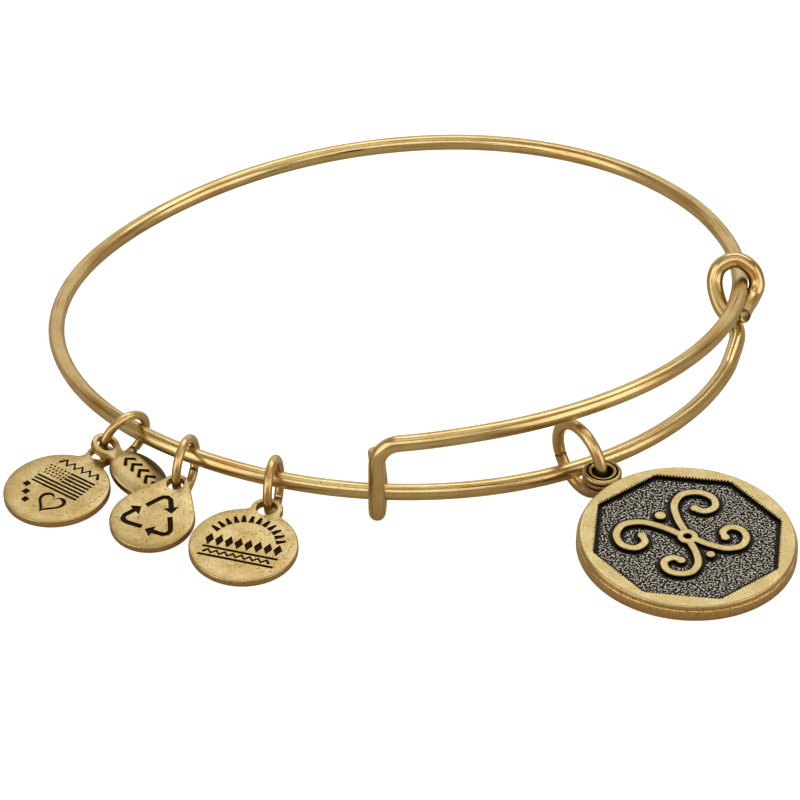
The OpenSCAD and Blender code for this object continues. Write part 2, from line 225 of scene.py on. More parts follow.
@dataclass(frozen=True)
class BlastedBrass:
    """Brass stamping or casting, sandblasted, blackened and rubbed back.

    Blasting gives a fine matt grain. Black stays in scattered pits and on the sheared or cast
    edge, and where the face meets the edge the metal is rubbed bright.
    """

    name: str
    place: Matrix
    thickness: float
    radius: float
    gold: str = "#B6A26B"
    pale: str = "#CDC291"
    brown: str = "#94703F"
    edge_gold: str = "#CDAA6C"
    black: str = "#2A1F12"
    recess: float = 0.0
    edge_tarnish: float = 0.7
    # where painted shade on the far slope starts, along local Y in millimetres
    far_painted_shade: float | None = None
    roughness: float = 0.34

    def material(self) -> Material:
        """Builds the material, which reads the place on the charm in millimetres.

        Returns:
            The material.
        """
        material, add = blank_material(self.name)
        local = add(
            "ShaderNodeMapping",
            {
                "Vector": add("ShaderNodeTexCoord").outputs["Object"],
                "Location": self.place.to_translation() * MM, "Rotation": self.place.to_euler(),
                "Scale": (MM, MM, MM)
            },
            vector_type="TEXTURE"
        )
        parts = add("ShaderNodeSeparateXYZ", {"Vector": local}).outputs
        flat = add("ShaderNodeVectorMath", {0: local, 1: (1, 1, 0)}, operation="MULTIPLY")
        out = add("ShaderNodeVectorMath", {0: flat}, operation="LENGTH").outputs["Value"]
        # blasted grain 0.14 mm across, clouds of tarnish 2 mm across, and pits 0.16 mm across
        # that hold the black
        grain, cloud, pit = (
            add(
                "ShaderNodeTexNoise",
                {"Vector": local, "Scale": scale, "Detail": detail, "Roughness": rough}
            )
            for scale, detail, rough in ((7.0, 2.0, 0.7), (0.5, 3.0, 0.5), (6.0, 1.0, 0.5))
        )
        # from 0 to 1: the clouds, the side, the rim that rubbing brightens, all below the face,
        # and the slope that turns away, which gets painted shade
        face, far = self.thickness, self.far_painted_shade or 0.0
        cloudy, side, rubbed, low, painted_far_shade = (
            add(
                "ShaderNodeMapRange", {"Value": value, "From Min": start, "From Max": end},
                interpolation_type="SMOOTHSTEP"
            )
            for value, start, end in (
                (cloud, 0.3, 0.8), (parts["Z"], face - 0.1, face - 0.22),
                (out, self.radius - 0.9, self.radius - 0.1), (parts["Z"], face - 0.03, face - 0.16),
                (parts["Y"], far, far - 0.5)
            )
        )
        # the edge holds more black than the face
        level = add("ShaderNodeMath", {0: side, 1: 0.05, 2: pit}, operation="MULTIPLY_ADD")
        specks = add(
            "ShaderNodeMapRange", {"Value": level, "From Min": 0.62, "From Max": 0.74},
            interpolation_type="SMOOTHSTEP"
        )
        grainy = add("ShaderNodeMapRange", {"Value": grain, "From Min": 0.66, "From Max": 0.32})
        # the sunk field's walls and its floor stay black
        inside = add("ShaderNodeMath", {0: out, 1: self.recess}, operation="LESS_THAN")
        sunk = add("ShaderNodeMath", {0: low, 1: inside}, operation="MULTIPLY")
        layers = [
            (cloudy, 1.0, self.pale), (side, self.edge_tarnish, self.edge_gold),
            (grainy, 0.45, self.brown), (specks, 0.5, self.black)
        ]
        if self.recess:
            layers.append((sunk, 1.0, self.black))
        # painted shade: the far slope is darkened towards black
        if self.far_painted_shade is not None:
            layers.append((painted_far_shade, 0.85, self.black))
        colour = linear(self.gold)
        for share, strength, paint in layers:
            amount = add("ShaderNodeMath", {0: share, 1: strength}, operation="MULTIPLY")
            colour = add(
                "ShaderNodeMix", {0: amount, 6: colour, 7: linear(paint)}, data_type="RGBA"
            ).outputs[2]
        # the edge was tumbled smoother than the face
        rough = self.roughness
        for where, change in ((rubbed, -0.05), (side, -0.1)):
            rough = add("ShaderNodeMath", {0: where, 1: change, 2: rough}, operation="MULTIPLY_ADD")
        height = add("ShaderNodeMath", {0: specks, 1: -0.9, 2: grain}, operation="MULTIPLY_ADD")
        finish_metal(add, colour, rough, height, 0.02)
        return material


@dataclass(frozen=True)
class StippledGround:
    """Cast brass ground, punched all over, blackened, with its high grains rubbed back.

    The rubbed grains are a pale silvery brass and the ground between them is a soft black.
    """

    name: str
    grain: str = "#CCCDC6"
    ground: str = "#2A2925"

    def material(self) -> Material:
        """Builds the material, which reads the height that the grains were raised by.

        Returns:
            The material.
        """
        material, add = blank_material(self.name)
        height = add("ShaderNodeAttribute", attribute_name="grain").outputs["Fac"]
        high = add(
            "ShaderNodeMapRange", {"Value": height, "From Min": 0.5, "From Max": 0.9},
            interpolation_type="SMOOTHSTEP"
        )
        colour = add(
            "ShaderNodeMix", {0: high, 6: linear(self.ground), 7: linear(self.grain)},
            data_type="RGBA"
        )
        rough = add("ShaderNodeMath", {0: high, 1: -0.2, 2: 0.55}, operation="MULTIPLY_ADD")
        finish_metal(add, colour.outputs[2], rough, height, 0.01)
        return material


@dataclass(frozen=True)
class OxideFill:
    """Brass cut with a graver and blackened, which leaves a soft brown-black."""

    name: str
    black: str = "#17110A"
    brown: str = "#3A2713"

    def material(self) -> Material:
        """Builds the material, with faint brown where the black is thin.

        Returns:
            The material.
        """
        material, add = blank_material(self.name)
        place = add("ShaderNodeTexCoord").outputs["Object"]
        thin = add("ShaderNodeTexNoise", {"Vector": place, "Scale": 5000.0, "Detail": 1.0})
        colour = add(
            "ShaderNodeMix", {0: thin, 6: linear(self.black), 7: linear(self.brown)},
            data_type="RGBA"
        )
        finish_metal(add, colour.outputs[2], 0.6, thin, 0.008)
        return material


def floor_material() -> Material:
    """Builds the matt white board that the bangle lies on.

    Returns:
        The material.
    """
    material, add = blank_material("matt_white_board")
    # the picture is exposed for the brass, so the board shows white and lights it less
    glow = add(
        "ShaderNodeMath", {0: add("ShaderNodeLightPath").outputs["Is Camera Ray"], 1: 0.92},
        operation="MULTIPLY"
    )
    shader = add(
        "ShaderNodeBsdfPrincipled",
        {
            "Base Color": linear("#B8AFA0"), "Roughness": 0.7, "Emission Color": linear("#FFFFFF"),
            "Emission Strength": glow
        }
    )
    add("ShaderNodeOutputMaterial", {"Surface": shader})
    return material


# Mesh helpers, all in millimetres


def arc(centre: Point, radius: float, start: float, end: float, count: int) -> Outline:
    """Points of an arc.

    Args:
        centre: Middle of the arc.
        radius: Radius.
        start: First angle in degrees.
        end: Last angle in degrees.
        count: Number of points, without the last.

    Returns:
        The points from the first angle on.
    """
    angles = [math.radians(start + (end - start) * k / count) for k in range(count)]
    return [(centre[0] + radius * math.cos(a), centre[1] + radius * math.sin(a)) for a in angles]


def through(points: Sequence[Sequence[float]], pieces: int) -> list[Vector]:
    """Smooth line through chosen points.

    Args:
        points: Points of the line, flat or in space.
        pieces: Pieces that each stretch is cut into.

    Returns:
        The line without its last point.
    """
    at = [Vector(p) for p in points]
    line = []
    for i in range(len(at) - 1):
        a, b, c, d = at[max(i - 1, 0)], at[i], at[i + 1], at[min(i + 2, len(at) - 1)]
        for k in range(pieces):
            s = k / pieces
            turn = (2 * a - 5 * b + 4 * c - d) * s**2 + (3 * b - a - 3 * c + d) * s**3
            line.append(0.5 * (2 * b + (c - a) * s + turn))
    return line


def stacked(rows: Sequence[tuple[Outline, float]]) -> Solid:
    """Closed solid from outlines of equal count.

    Args:
        rows: Outlines with their heights, lowest first, anticlockwise from above.

    Returns:
        Points and faces.
    """
    count = len(rows[0][0])
    points = [Vector((x, y, z)) for line, z in rows for x, y in line]
    faces = [tuple(range(count - 1, -1, -1))]
    for i in range(len(rows) - 1):
        for k in range(count):
            low, after = i * count + k, i * count + (k + 1) % count
            faces.append((low, after, after + count, low + count))
    faces.append(tuple(range((len(rows) - 1) * count, len(rows) * count)))
    return points, faces


def lathed(profile: Outline, centre: Point, count: int) -> Solid:
    """Closed solid turned round an upright axis.

    Args:
        profile: Closed profile of distance and height, clear of the axis, anticlockwise.
        centre: Place of the axis.
        count: Sections round the axis.

    Returns:
        Points and faces.
    """
    size = len(profile)
    points = [
        Vector((centre[0] + r * math.cos(a), centre[1] + r * math.sin(a), z))
        for a in (2 * math.pi * k / count for k in range(count)) for r, z in profile
    ]
    faces = []
    for k in range(count):
        here, there = k * size, (k + 1) % count * size
        for i in range(size):
            j = (i + 1) % size
            faces.append((here + i, there + i, there + j, here + j))
    return points, faces


def prism(outline: Outline, low: float, high: float) -> Solid:
    """Upright closed prism on an anticlockwise outline."""
    return stacked([(outline, low), (outline, high)])


def together(solids: Iterable[Solid]) -> Solid:
    """Several solids as one list of points and faces.

    Args:
        solids: Solids that don't share points.

    Returns:
        Points and faces.
    """
    points: list[Vector] = []
    faces: list[tuple[int, ...]] = []
    for more, over in solids:
        faces += [tuple(i + len(points) for i in face) for face in over]
        points += more
    return points, faces


def rounded_plate(
    outline: Callable[[float], Outline], low: float, high: float, edge: float, worn: float = 0.0
) -> Solid:
    """Flat plate with rounded edges, and a face that tumbling has worn down towards them.

    Args:
        outline: Gives the outline drawn in by a distance.
        low: Height of the underside.
        high: Height of the face.
        edge: Radius of the edges.
        worn: How far the face slopes down towards the outline.

    Returns:
        Points and faces.
    """
    slope_w = 0.9
    turn = [math.radians(15 * k) for k in range(7)]
    round_edge = [(edge * (1 - math.sin(a)), edge * (1 - math.cos(a))) for a in turn]
    rows = [(edge + 0.03, low), *[(inset, low + z) for inset, z in round_edge]]
    shoulder = high - worn * (1 - edge / slope_w) ** 2
    rows += [(inset, shoulder - z) for inset, z in reversed(round_edge)]
    wear = (0.25, 0.4, 0.6, slope_w) if worn else (edge + 0.03,)
    rows += [(inset, high - worn * (1 - inset / slope_w) ** 2) for inset in wear]
    if worn:
        rows.append((slope_w + 0.03, high))
    return stacked([(outline(inset), z) for inset, z in rows])


def band(line: Sequence[Vector], width: float) -> Outline:
    """Outline of a band along an open flat line, anticlockwise.

    Args:
        line: Points of the line.
        width: Width of the band.

    Returns:
        Points of the outline.
    """
    left, right = [], []
    for i, at in enumerate(line):
        way = (line[min(i + 1, len(line) - 1)] - line[max(i - 1, 0)]).normalized()
        side = Vector((-way.y, way.x)) * width / 2
        left.append(tuple((at.xy + side)[:]))
        right.append(tuple((at.xy - side)[:]))
    return right + left[::-1]


def in_scene(name: str, data: ID) -> Object:
    """Adds an object with its data to the scene.

    Args:
        name: Name of the object.
        data: Its mesh, lamp or camera.

    Returns:
        The object.
    """
    piece = bpy.data.objects.new(name, data)
    bpy.context.scene.collection.objects.link(piece)
    return piece


def line_object(name: str, points: Iterable[Sequence[float]]) -> Object:
    """Makes a line of edges through points in metres.

    Args:
        name: Name of the object.
        points: Points of the line, in order.

    Returns:
        The object.
    """
    at = [tuple(p) for p in points]
    mesh = bpy.data.meshes.new(name)
    mesh.from_pydata(at, [(i, i + 1) for i in range(len(at) - 1)], [])
    return in_scene(name, mesh)


def in_metres(place: Matrix) -> Matrix:
    """A place in millimetres as one for meshes in metres."""
    return Matrix.Diagonal((MM, MM, MM, 1)) @ place @ Matrix.Diagonal((1 / MM,) * 3 + (1,))


def mesh_object(name: str, solid: Solid, materials: Sequence[Material] = ()) -> Object:
    """Makes a piece in metres from a solid in millimetres.

    Args:
        name: Name of the piece.
        solid: Points and faces.
        materials: Its materials; the faces take the first.

    Returns:
        The new object, in the scene.
    """
    mesh = bpy.data.meshes.new(name)
    mesh.from_pydata([tuple(p * MM) for p in solid[0]], [], solid[1])
    for material in materials:
        mesh.materials.append(material)
    return in_scene(name, mesh)


def settle(piece: Object) -> Object:
    """Turns a piece's modifiers into plain mesh.

    Args:
        piece: Piece with live modifiers.

    Returns:
        The same piece, without them.
    """
    graph = bpy.context.evaluated_depsgraph_get()
    mesh = bpy.data.meshes.new_from_object(
        piece.evaluated_get(graph), preserve_all_data_layers=True, depsgraph=graph
    )
    piece.modifiers.clear()
    piece.data = mesh
    mesh.name = piece.name
    return piece


def combine(piece: Object, other: Object, operation: str) -> Object:
    """Joins another solid to a piece or cuts it out, and removes the other.

    Args:
        piece: Piece to work on.
        other: The solid to join or cut.
        operation: UNION or DIFFERENCE.

    Returns:
        The piece, as plain mesh.
    """
    cut = piece.modifiers.new("cut", "BOOLEAN")
    cut.operation = operation
    cut.solver = "EXACT"
    cut.material_mode = "TRANSFER"
    cut.object = other
    settle(piece)
    bpy.data.objects.remove(other, do_unlink=True)
    return piece


def smooth_shaded(piece: Object, angle: float = 40) -> Object:
    """Shades a piece smooth, apart from edges sharper than an angle in degrees.

    Args:
        piece: Piece to shade.
        angle: The angle in degrees.

    Returns:
        The piece.
    """
    piece.data.shade_smooth()
    piece.data.set_sharp_from_angle(angle=math.radians(angle))
    return piece


def faced_out(piece: Object) -> Object:
    """Turns every face of a closed piece outwards.

    Args:
        piece: Piece to mend.

    Returns:
        The piece.
    """
    work = bmesh.new()
    work.from_mesh(piece.data)
    bmesh.ops.recalc_face_normals(work, faces=work.faces)
    work.to_mesh(piece.data)
    work.free()
    return piece


# Geometry node trees


def new_tree(name: str, **inputs: str) -> tuple[NodeTree, Adder, Any]:
    """Makes a geometry tree with named inputs.

    Args:
        name: Name of the tree.
        **inputs: Kind of each input after the geometry.

    Returns:
        The tree, what adds a node to it, and its inputs by name.
    """
    tree = bpy.data.node_groups.new(name, "GeometryNodeTree")
    tree.interface.new_socket("Geometry", in_out="INPUT", socket_type="NodeSocketGeometry")
    for key, kind in inputs.items():
        tree.interface.new_socket(key, in_out="INPUT", socket_type="NodeSocket" + kind)
    tree.interface.new_socket("Geometry", in_out="OUTPUT", socket_type="NodeSocketGeometry")
    add = partial(add_node, tree)
    return tree, add, add("NodeGroupInput").outputs


def end_tree(tree: NodeTree, geometry: Any, material: Any) -> NodeTree:
    """Ends a tree with real geometry in its material.

    Args:
        tree: Tree to end.
        geometry: Node or output of the finished geometry.
        material: Output that holds the material.

    Returns:
        The tree.
    """
    add = partial(add_node, tree)
    real = add("GeometryNodeRealizeInstances", {"Geometry": geometry})
    dressed = add("GeometryNodeSetMaterial", {"Geometry": real, "Material": material})
    add("NodeGroupOutput", {0: dressed})
    return tree


def run_tree(piece: Object, tree: NodeTree, **values: Any) -> Object:
    """Runs a geometry tree on a piece and keeps the result as plain mesh.

    Args:
        piece: Piece whose mesh the tree reads.
        tree: The tree.
        **values: Value of each named input.

    Returns:
        The piece.
    """
    modifier = piece.modifiers.new(tree.name, "NODES")
    modifier.node_group = tree
    for item in tree.interface.items_tree:
        if item.in_out == "INPUT" and item.name in values:
            modifier[item.identifier] = values[item.name]
    return settle(piece)


def round_wire_nodes(add: Adder, rail: Any, scale: Any, given: Any) -> Node:
    """Adds the nodes that draw a round wire along a rail and note where each point lies on it.

    Args:
        add: Adds a node to the tree.
        rail: Curve that the wire follows.
        scale: Thickness along it, as a share.
        given: The tree's inputs, with Diameter and Sides.

    Returns:
        The node that gives the wire's mesh, with its attribute "lie" in millimetres.
    """
    radius = add("ShaderNodeMath", {0: given["Diameter"], 1: 0.5}, operation="MULTIPLY")
    circle = add(
        "GeometryNodeCurvePrimitiveCircle", {"Resolution": given["Sides"], "Radius": radius},
        mode="RADIUS"
    )
    section = add(
        "GeometryNodeStoreNamedAttribute",
        {"Geometry": circle, "Name": "section", "Value": add("GeometryNodeInputPosition")},
        data_type="FLOAT_VECTOR", domain="POINT"
    )
    measured = add(
        "GeometryNodeStoreNamedAttribute",
        {
            "Geometry": rail, "Name": "along",
            "Value": add("GeometryNodeSplineParameter").outputs["Length"]
        },
        data_type="FLOAT", domain="POINT"
    )
    wire = add(
        "GeometryNodeCurveToMesh",
        {"Curve": measured, "Profile Curve": section, "Scale": scale, "Fill Caps": True}
    )
    along = add("GeometryNodeInputNamedAttribute", {"Name": "along"}, data_type="FLOAT")
    across = add("GeometryNodeInputNamedAttribute", {"Name": "section"}, data_type="FLOAT_VECTOR")
    parts = add("ShaderNodeSeparateXYZ", {"Vector": across})
    lie = add(
        "ShaderNodeCombineXYZ", {"X": along, "Y": parts.outputs["X"], "Z": parts.outputs["Y"]}
    )
    millimetres = add("ShaderNodeVectorMath", {0: lie, "Scale": 1 / MM}, operation="SCALE")
    return add(
        "GeometryNodeStoreNamedAttribute", {"Geometry": wire, "Name": "lie", "Value": millimetres},
        data_type="FLOAT_VECTOR", domain="POINT"
    )


def wire_tree() -> NodeTree:
    """Tree that draws a round wire along a line of edges, as thick as its attribute "girth".

    Returns:
        The tree.
    """
    tree, add, given = new_tree("drawn_wire", Diameter="Float", Sides="Int", Finish="Material")
    rail = add("GeometryNodeMeshToCurve", {"Mesh": given["Geometry"]})
    girth = add("GeometryNodeInputNamedAttribute", {"Name": "girth"}, data_type="FLOAT")
    wire = round_wire_nodes(add, rail, girth.outputs["Attribute"], given)
    return end_tree(tree, wire, given["Finish"])


def jump_ring_tree() -> NodeTree:
    """Tree that bends a round wire into a jump ring with a narrow seam and eased ends.

    Returns:
        The tree.
    """
    tree, add, given = new_tree(
        "jump_ring", Radius="Float", Diameter="Float", Seam="Float", Sides="Int", Finish="Material"
    )
    sweep = add("ShaderNodeMath", {0: 2 * math.pi, 1: given["Seam"]}, operation="SUBTRACT")
    rail = add(
        "GeometryNodeCurveArc",
        {"Resolution": 150, "Radius": given["Radius"], "Sweep Angle": sweep}, mode="RADIUS"
    )
    along = add("GeometryNodeSplineParameter").outputs["Factor"]
    back = add("ShaderNodeMath", {0: 1.0, 1: along}, operation="SUBTRACT")
    near = add("ShaderNodeMath", {0: along, 1: back}, operation="MINIMUM")
    scale = add(
        "ShaderNodeMapRange",
        {"Value": near, "From Min": 0.0, "From Max": 0.006, "To Min": 0.9, "To Max": 1.0}
    )
    wire = round_wire_nodes(add, rail, scale, given)
    return end_tree(tree, wire, given["Finish"])


def row_tree() -> NodeTree:
    """Tree that sets copies of a shape along a line of edges, turned to follow it.

    Returns:
        The tree.
    """
    tree, add, given = new_tree(
        "row_of_marks", Mark="Object", Pitch="Float", Uneven="Float", Finish="Material"
    )
    line = add("GeometryNodeMeshToCurve", {"Mesh": given["Geometry"]})
    spaced = add(
        "GeometryNodeResampleCurve", {"Curve": line, "Length": given["Pitch"]}, mode="LENGTH"
    )
    turn = add(
        "FunctionNodeAlignRotationToVector", {"Vector": add("GeometryNodeInputTangent")}, axis="X",
        pivot_axis="Z"
    )
    mark = add("GeometryNodeObjectInfo", {"Object": given["Mark"]})
    # each mark's length across the path is cut by a share between 0 and Uneven
    chance = add("FunctionNodeRandomValue", {2: 0.0, 3: 1.0, "Seed": 5}, data_type="FLOAT")
    cut = add("ShaderNodeMath", {0: chance.outputs[1], 1: given["Uneven"]}, operation="MULTIPLY")
    across = add("ShaderNodeMath", {0: 1.0, 1: cut}, operation="SUBTRACT")
    copies = add(
        "GeometryNodeInstanceOnPoints",
        {
            "Points": spaced, "Instance": mark.outputs["Geometry"], "Rotation": turn,
            "Scale": add("ShaderNodeCombineXYZ", {"X": 1.0, "Y": across, "Z": 1.0})
        }
    )
    return end_tree(tree, copies, given["Finish"])


def stipple_tree() -> NodeTree:
    """Tree that raises rounded grains on a mesh, as far as its attribute "open" allows.

    Returns:
        The tree.
    """
    tree, add, given = new_tree("stippled_ground", Size="Float", Height="Float", Finish="Material")
    scale = add("ShaderNodeMath", {0: 1.0, 1: given["Size"]}, operation="DIVIDE")
    # distance from the nearest grain's middle, in grains
    punch = add(
        "ShaderNodeTexVoronoi", {"Vector": add("GeometryNodeInputPosition"), "Scale": scale},
        voronoi_dimensions="2D", feature="F1"
    )
    # the grains cover a little under half of the ground
    level = add(
        "ShaderNodeMapRange",
        {"Value": punch.outputs["Distance"], "From Min": 0.75, "From Max": 0.1}
    )
    room = add("GeometryNodeInputNamedAttribute", {"Name": "open"}, data_type="FLOAT")
    grain = add("ShaderNodeMath", {0: level, 1: room}, operation="MULTIPLY")
    noted = add(
        "GeometryNodeStoreNamedAttribute",
        {"Geometry": given["Geometry"], "Name": "grain", "Value": grain}, data_type="FLOAT",
        domain="POINT"
    )
    again = add("GeometryNodeInputNamedAttribute", {"Name": "grain"}, data_type="FLOAT")
    lift = add("ShaderNodeMath", {0: again, 1: given["Height"]}, operation="MULTIPLY")
    raised = add(
        "GeometryNodeSetPosition",
        {"Geometry": noted, "Offset": add("ShaderNodeCombineXYZ", {"Z": lift})}
    )
    return end_tree(tree, raised, given["Finish"])


# The bangle


def turned(axis: str, degrees: float) -> Matrix:
    """Turn about an axis."""
    return Matrix.Rotation(math.radians(degrees), 4, axis)


def around(degrees: float) -> Vector:
    """Way out from the middle at an angle clockwise from +X."""
    return Vector((math.cos(math.radians(degrees)), -math.sin(math.radians(degrees)), 0))


UP = Vector((0, 0, 1))
CLEARANCE = 0.08
REST_GAP = 0.05
# radius of the charms' edges, thickness of the flat ones, and how far cutters stand proud
EDGE = 0.15
CHARM_T = 0.75
OVER = 0.3
# how often each wave goes round the heart, and its share in the heart's height
HEART_WAVES = ((1, 13), (2, -5), (3, -2), (4, -1))


@dataclass(frozen=True)
class Wire:
    """The sprung wire, with its hook at one end and its closed eye at the other."""

    inner_d: float = 60.5
    wire_d: float = 1.45
    strand_rise: float = 6.0
    hook_inner_w: float = 2.2
    hook_bend_r: float = 2.2
    hook_tip: float = 3.1
    hook_gap: float = 0.03
    hook_lean: float = 0.1
    hook_at: float = 93.5
    eye_inner_w: float = 2.35
    eye_at: float = 364.0
    eye_in: float = 0.12
    # angle, how far out in hook radii, and height in shares of the front lift and of the rise
    run: tuple[tuple[float, float, float, float], ...] = (
        (20, 0, 1.24, 0), (26, 0, 1.13, 0), (33, 0, 1.04, 0), (48, 0, 0.96, 0), (70, 0, 0.92, 0),
        (93.5, 0, 1, 0), (112, 0.32, 1.29, 0), (126, 0.48, 1.44, 0), (146, 0.28, 1.21, 0),
        (164, 0.07, 0.84, 0), (182, 0, 0.4, 0), (199, 0, 0.12, 0), (214, 0, 0, 0),
        (228, 0, 0.1, 0), (243, 0, 0.2, 0.07), (264, 0, 0.35, 0.21), (285, 0, 0.5, 0.34),
        (309, 0, 0.65, 0.445), (330, 0, 0.8, 0.48), (345, -0.06, 0.9, 0.5),
        (358, -0.25, 0.95, 0.63), (370, -0.2, 1, 0.8), (383, 0.02, 1, 0.93), (400, 0.17, 1, 1),
        (420, 0.27, 1, 1.02), (438, 0.62, 1, 1.02), (449, 1, 1, 1),
    )  # fmt: skip
    # the eye from the lower strand to the tip, in eye radii: outwards, back and up
    eye: tuple[tuple[float, float, float], ...] = (
        (0.1, -2.63, -1.5), (-0.13, -1.75, -1.12), (-0.67, -1.08, -0.82), (-0.98, -0.5, -0.3),
        (-1.06, -0.05, 0.2), (-0.82, 0.26, 0.72), (-0.08, 0.42, 1.0), (0.64, 0.21, 0.68),
        (0.93, -0.1, 0.06), (0.76, -0.6, -0.38), (0.46, -1.5, -0.5), (0.3, -2.34, -0.48),
    )  # fmt: skip

    @property
    def hook_r(self) -> float:
        """Radius of the hook's turn on the wire's centre line."""
        return (self.hook_inner_w + self.wire_d) / 2

    def share(self, column: int, at: float) -> float:
        """Smooth value of one column of the run.

        Args:
            column: Column of the table.
            at: Angle in degrees.

        Returns:
            The value at that angle.
        """
        run = self.run
        i = max(k for k in range(len(run) - 1) if run[k][0] <= at)

        def slope(k: int) -> float:
            """Slope of the column at a row."""
            a, b = run[max(k - 1, 0)], run[min(k + 1, len(run) - 1)]
            return (b[column] - a[column]) / (b[0] - a[0])

        width = run[i + 1][0] - run[i][0]
        s = (at - run[i][0]) / width
        return (
            run[i][column] * (2 * s**3 - 3 * s**2 + 1)
            + slope(i) * width * (s**3 - 2 * s**2 + s)
            + run[i + 1][column] * (3 * s**2 - 2 * s**3)
            + slope(i + 1) * width * (s**3 - s**2)
        )

    def strand(self, at: float) -> Vector:
        """Point of the strand's centre line at an angle of the run.

        Args:
            at: The angle in degrees.

        Returns:
            The point.
        """
        out = (self.inner_d + self.wire_d) / 2 + self.share(1, at) * self.hook_r
        lift = self.share(2, at) * (self.hook_r + self.hook_gap)
        rise = self.share(3, at) * self.strand_rise
        return around(at) * out + UP * (self.wire_d / 2 + lift + rise)

    @property
    def eye_r(self) -> float:
        """Radius of the eye on the wire's centre line."""
        return (self.eye_inner_w + self.wire_d) / 2

    @property
    def eye_middle(self) -> Vector:
        """Middle of the eye."""
        return self.strand(self.eye_at) - self.eye_in * self.eye_r * around(self.eye_at)

    def eye_line(self) -> list[Vector]:
        """Centre line from the wire's tip round the eye to the start of the run.

        Returns:
            Its points.
        """
        radius, middle = self.eye_r, self.eye_middle
        out, back = around(self.eye_at), around(self.eye_at - 90)
        points = [middle + radius * (x * out + y * back + z * UP) for x, y, z in reversed(self.eye)]
        return through([*points, self.strand(self.run[0][0])], 14)

    def hook_line(self) -> list[Vector]:
        """Centre line of the bend, the turn under the lower strand and the tip behind it.

        Returns:
            Its points.
        """
        out, on = around(self.hook_at), around(self.hook_at + 90)
        low = self.strand(self.hook_at)
        top = low + out * self.hook_r + UP * (self.strand(self.run[-1][0]).z - low.z)
        bend = [math.radians(90 * k / 18) for k in range(19)]
        turn = [math.radians(180 * k / 30) for k in range(31)]
        line = [
            top - self.hook_bend_r * (on * (1 - math.sin(a)) + UP * (1 - math.cos(a))) for a in bend
        ]
        drop = line[-1] - (low + out * self.hook_r)
        line += [low + out * self.hook_r + drop * (1 - k / 8) for k in range(1, 8)]
        line += [low + self.hook_r * (out * math.cos(a) - UP * math.sin(a)) for a in turn]
        tip = self.hook_tip * (self.hook_lean * on + UP)
        return line + [low - out * self.hook_r + tip * k / 10 for k in range(1, 11)]

    def line(self) -> list[Vector]:
        """Whole centre line, from the eye's tip to the hook's tip, with its joins eased.

        Returns:
            Its points.
        """
        first, last = self.run[0][0], self.run[-1][0]
        steps = int(last - first)
        strand = [self.strand(first + (last - first) * k / steps) for k in range(steps + 1)]
        line = [*self.eye_line(), *strand[:-1], *self.hook_line()]
        for _ in range(3):
            inner = [(a + 2 * b + c) / 4 for a, b, c in zip(line, line[1:], line[2:])]
            line = [line[0], *inner, line[-1]]
        return line

    def build(self, tree: NodeTree, finish: Material) -> Object:
        """Draws the wire along its line, with eased ends.

        Args:
            tree: Tree of the drawn wire.
            finish: Material of the wire.

        Returns:
            The bangle's wire.
        """
        line = self.line()
        # extra sections at both ends, where the cut wire is eased
        steps = [0.0, 0.03, 0.08, 0.14, 0.22]
        heads = [line[0] + (line[1] - line[0]).normalized() * s for s in steps]
        tails = [line[-1] + (line[-2] - line[-1]).normalized() * s for s in reversed(steps)]
        eased = [0.72, 0.86, 0.95, 0.99, 1.0]
        points = [*heads, *line[1:-1], *tails]
        girth = [*eased, *[1.0] * (len(line) - 2), *reversed(eased)]
        piece = line_object("drawn_bangle_wire", [p * MM for p in points])
        piece.data.attributes.new("girth", "FLOAT", "POINT").data.foreach_set("value", girth)
        run_tree(piece, tree, Diameter=self.wire_d * MM, Sides=28, Finish=finish)
        self.note_painted_shade(piece.data)
        return smooth_shaded(piece, 50)

    def note_painted_shade(self, mesh: Mesh) -> None:
        """Notes how far inside the eye or the hook each point of the wire faces, from 0 to 1, as
        painted shade.

        Args:
            mesh: Mesh of the wire, with its attribute "lie".
        """
        at = np.empty(len(mesh.vertices) * 3)
        mesh.vertices.foreach_get("co", at)
        at = at.reshape(-1, 3) / MM
        lie = np.empty(at.size)
        mesh.attributes["lie"].data.foreach_get("vector", lie)
        along = lie[::3]
        sheltered = np.zeros(len(at))
        hook = self.strand(self.hook_at)
        hook_length = math.pi * self.hook_r + self.hook_tip + 1
        for middle, inner, part in (
            (self.eye_middle, self.eye_inner_w / 2, along < 2 * math.pi * self.eye_r),
            (hook, self.hook_inner_w / 2, along > along.max() - hook_length),
        ):
            far = np.linalg.norm(at - np.array(middle), axis=1) - inner
            # painted shade: full within 0.12 mm of the inner side, gone 0.5 mm out
            sheltered = np.maximum(sheltered, np.clip((0.5 - far) / 0.38, 0, 1) * part)
        mesh.attributes.new("sheltered", "FLOAT", "POINT").data.foreach_set("value", sheltered)


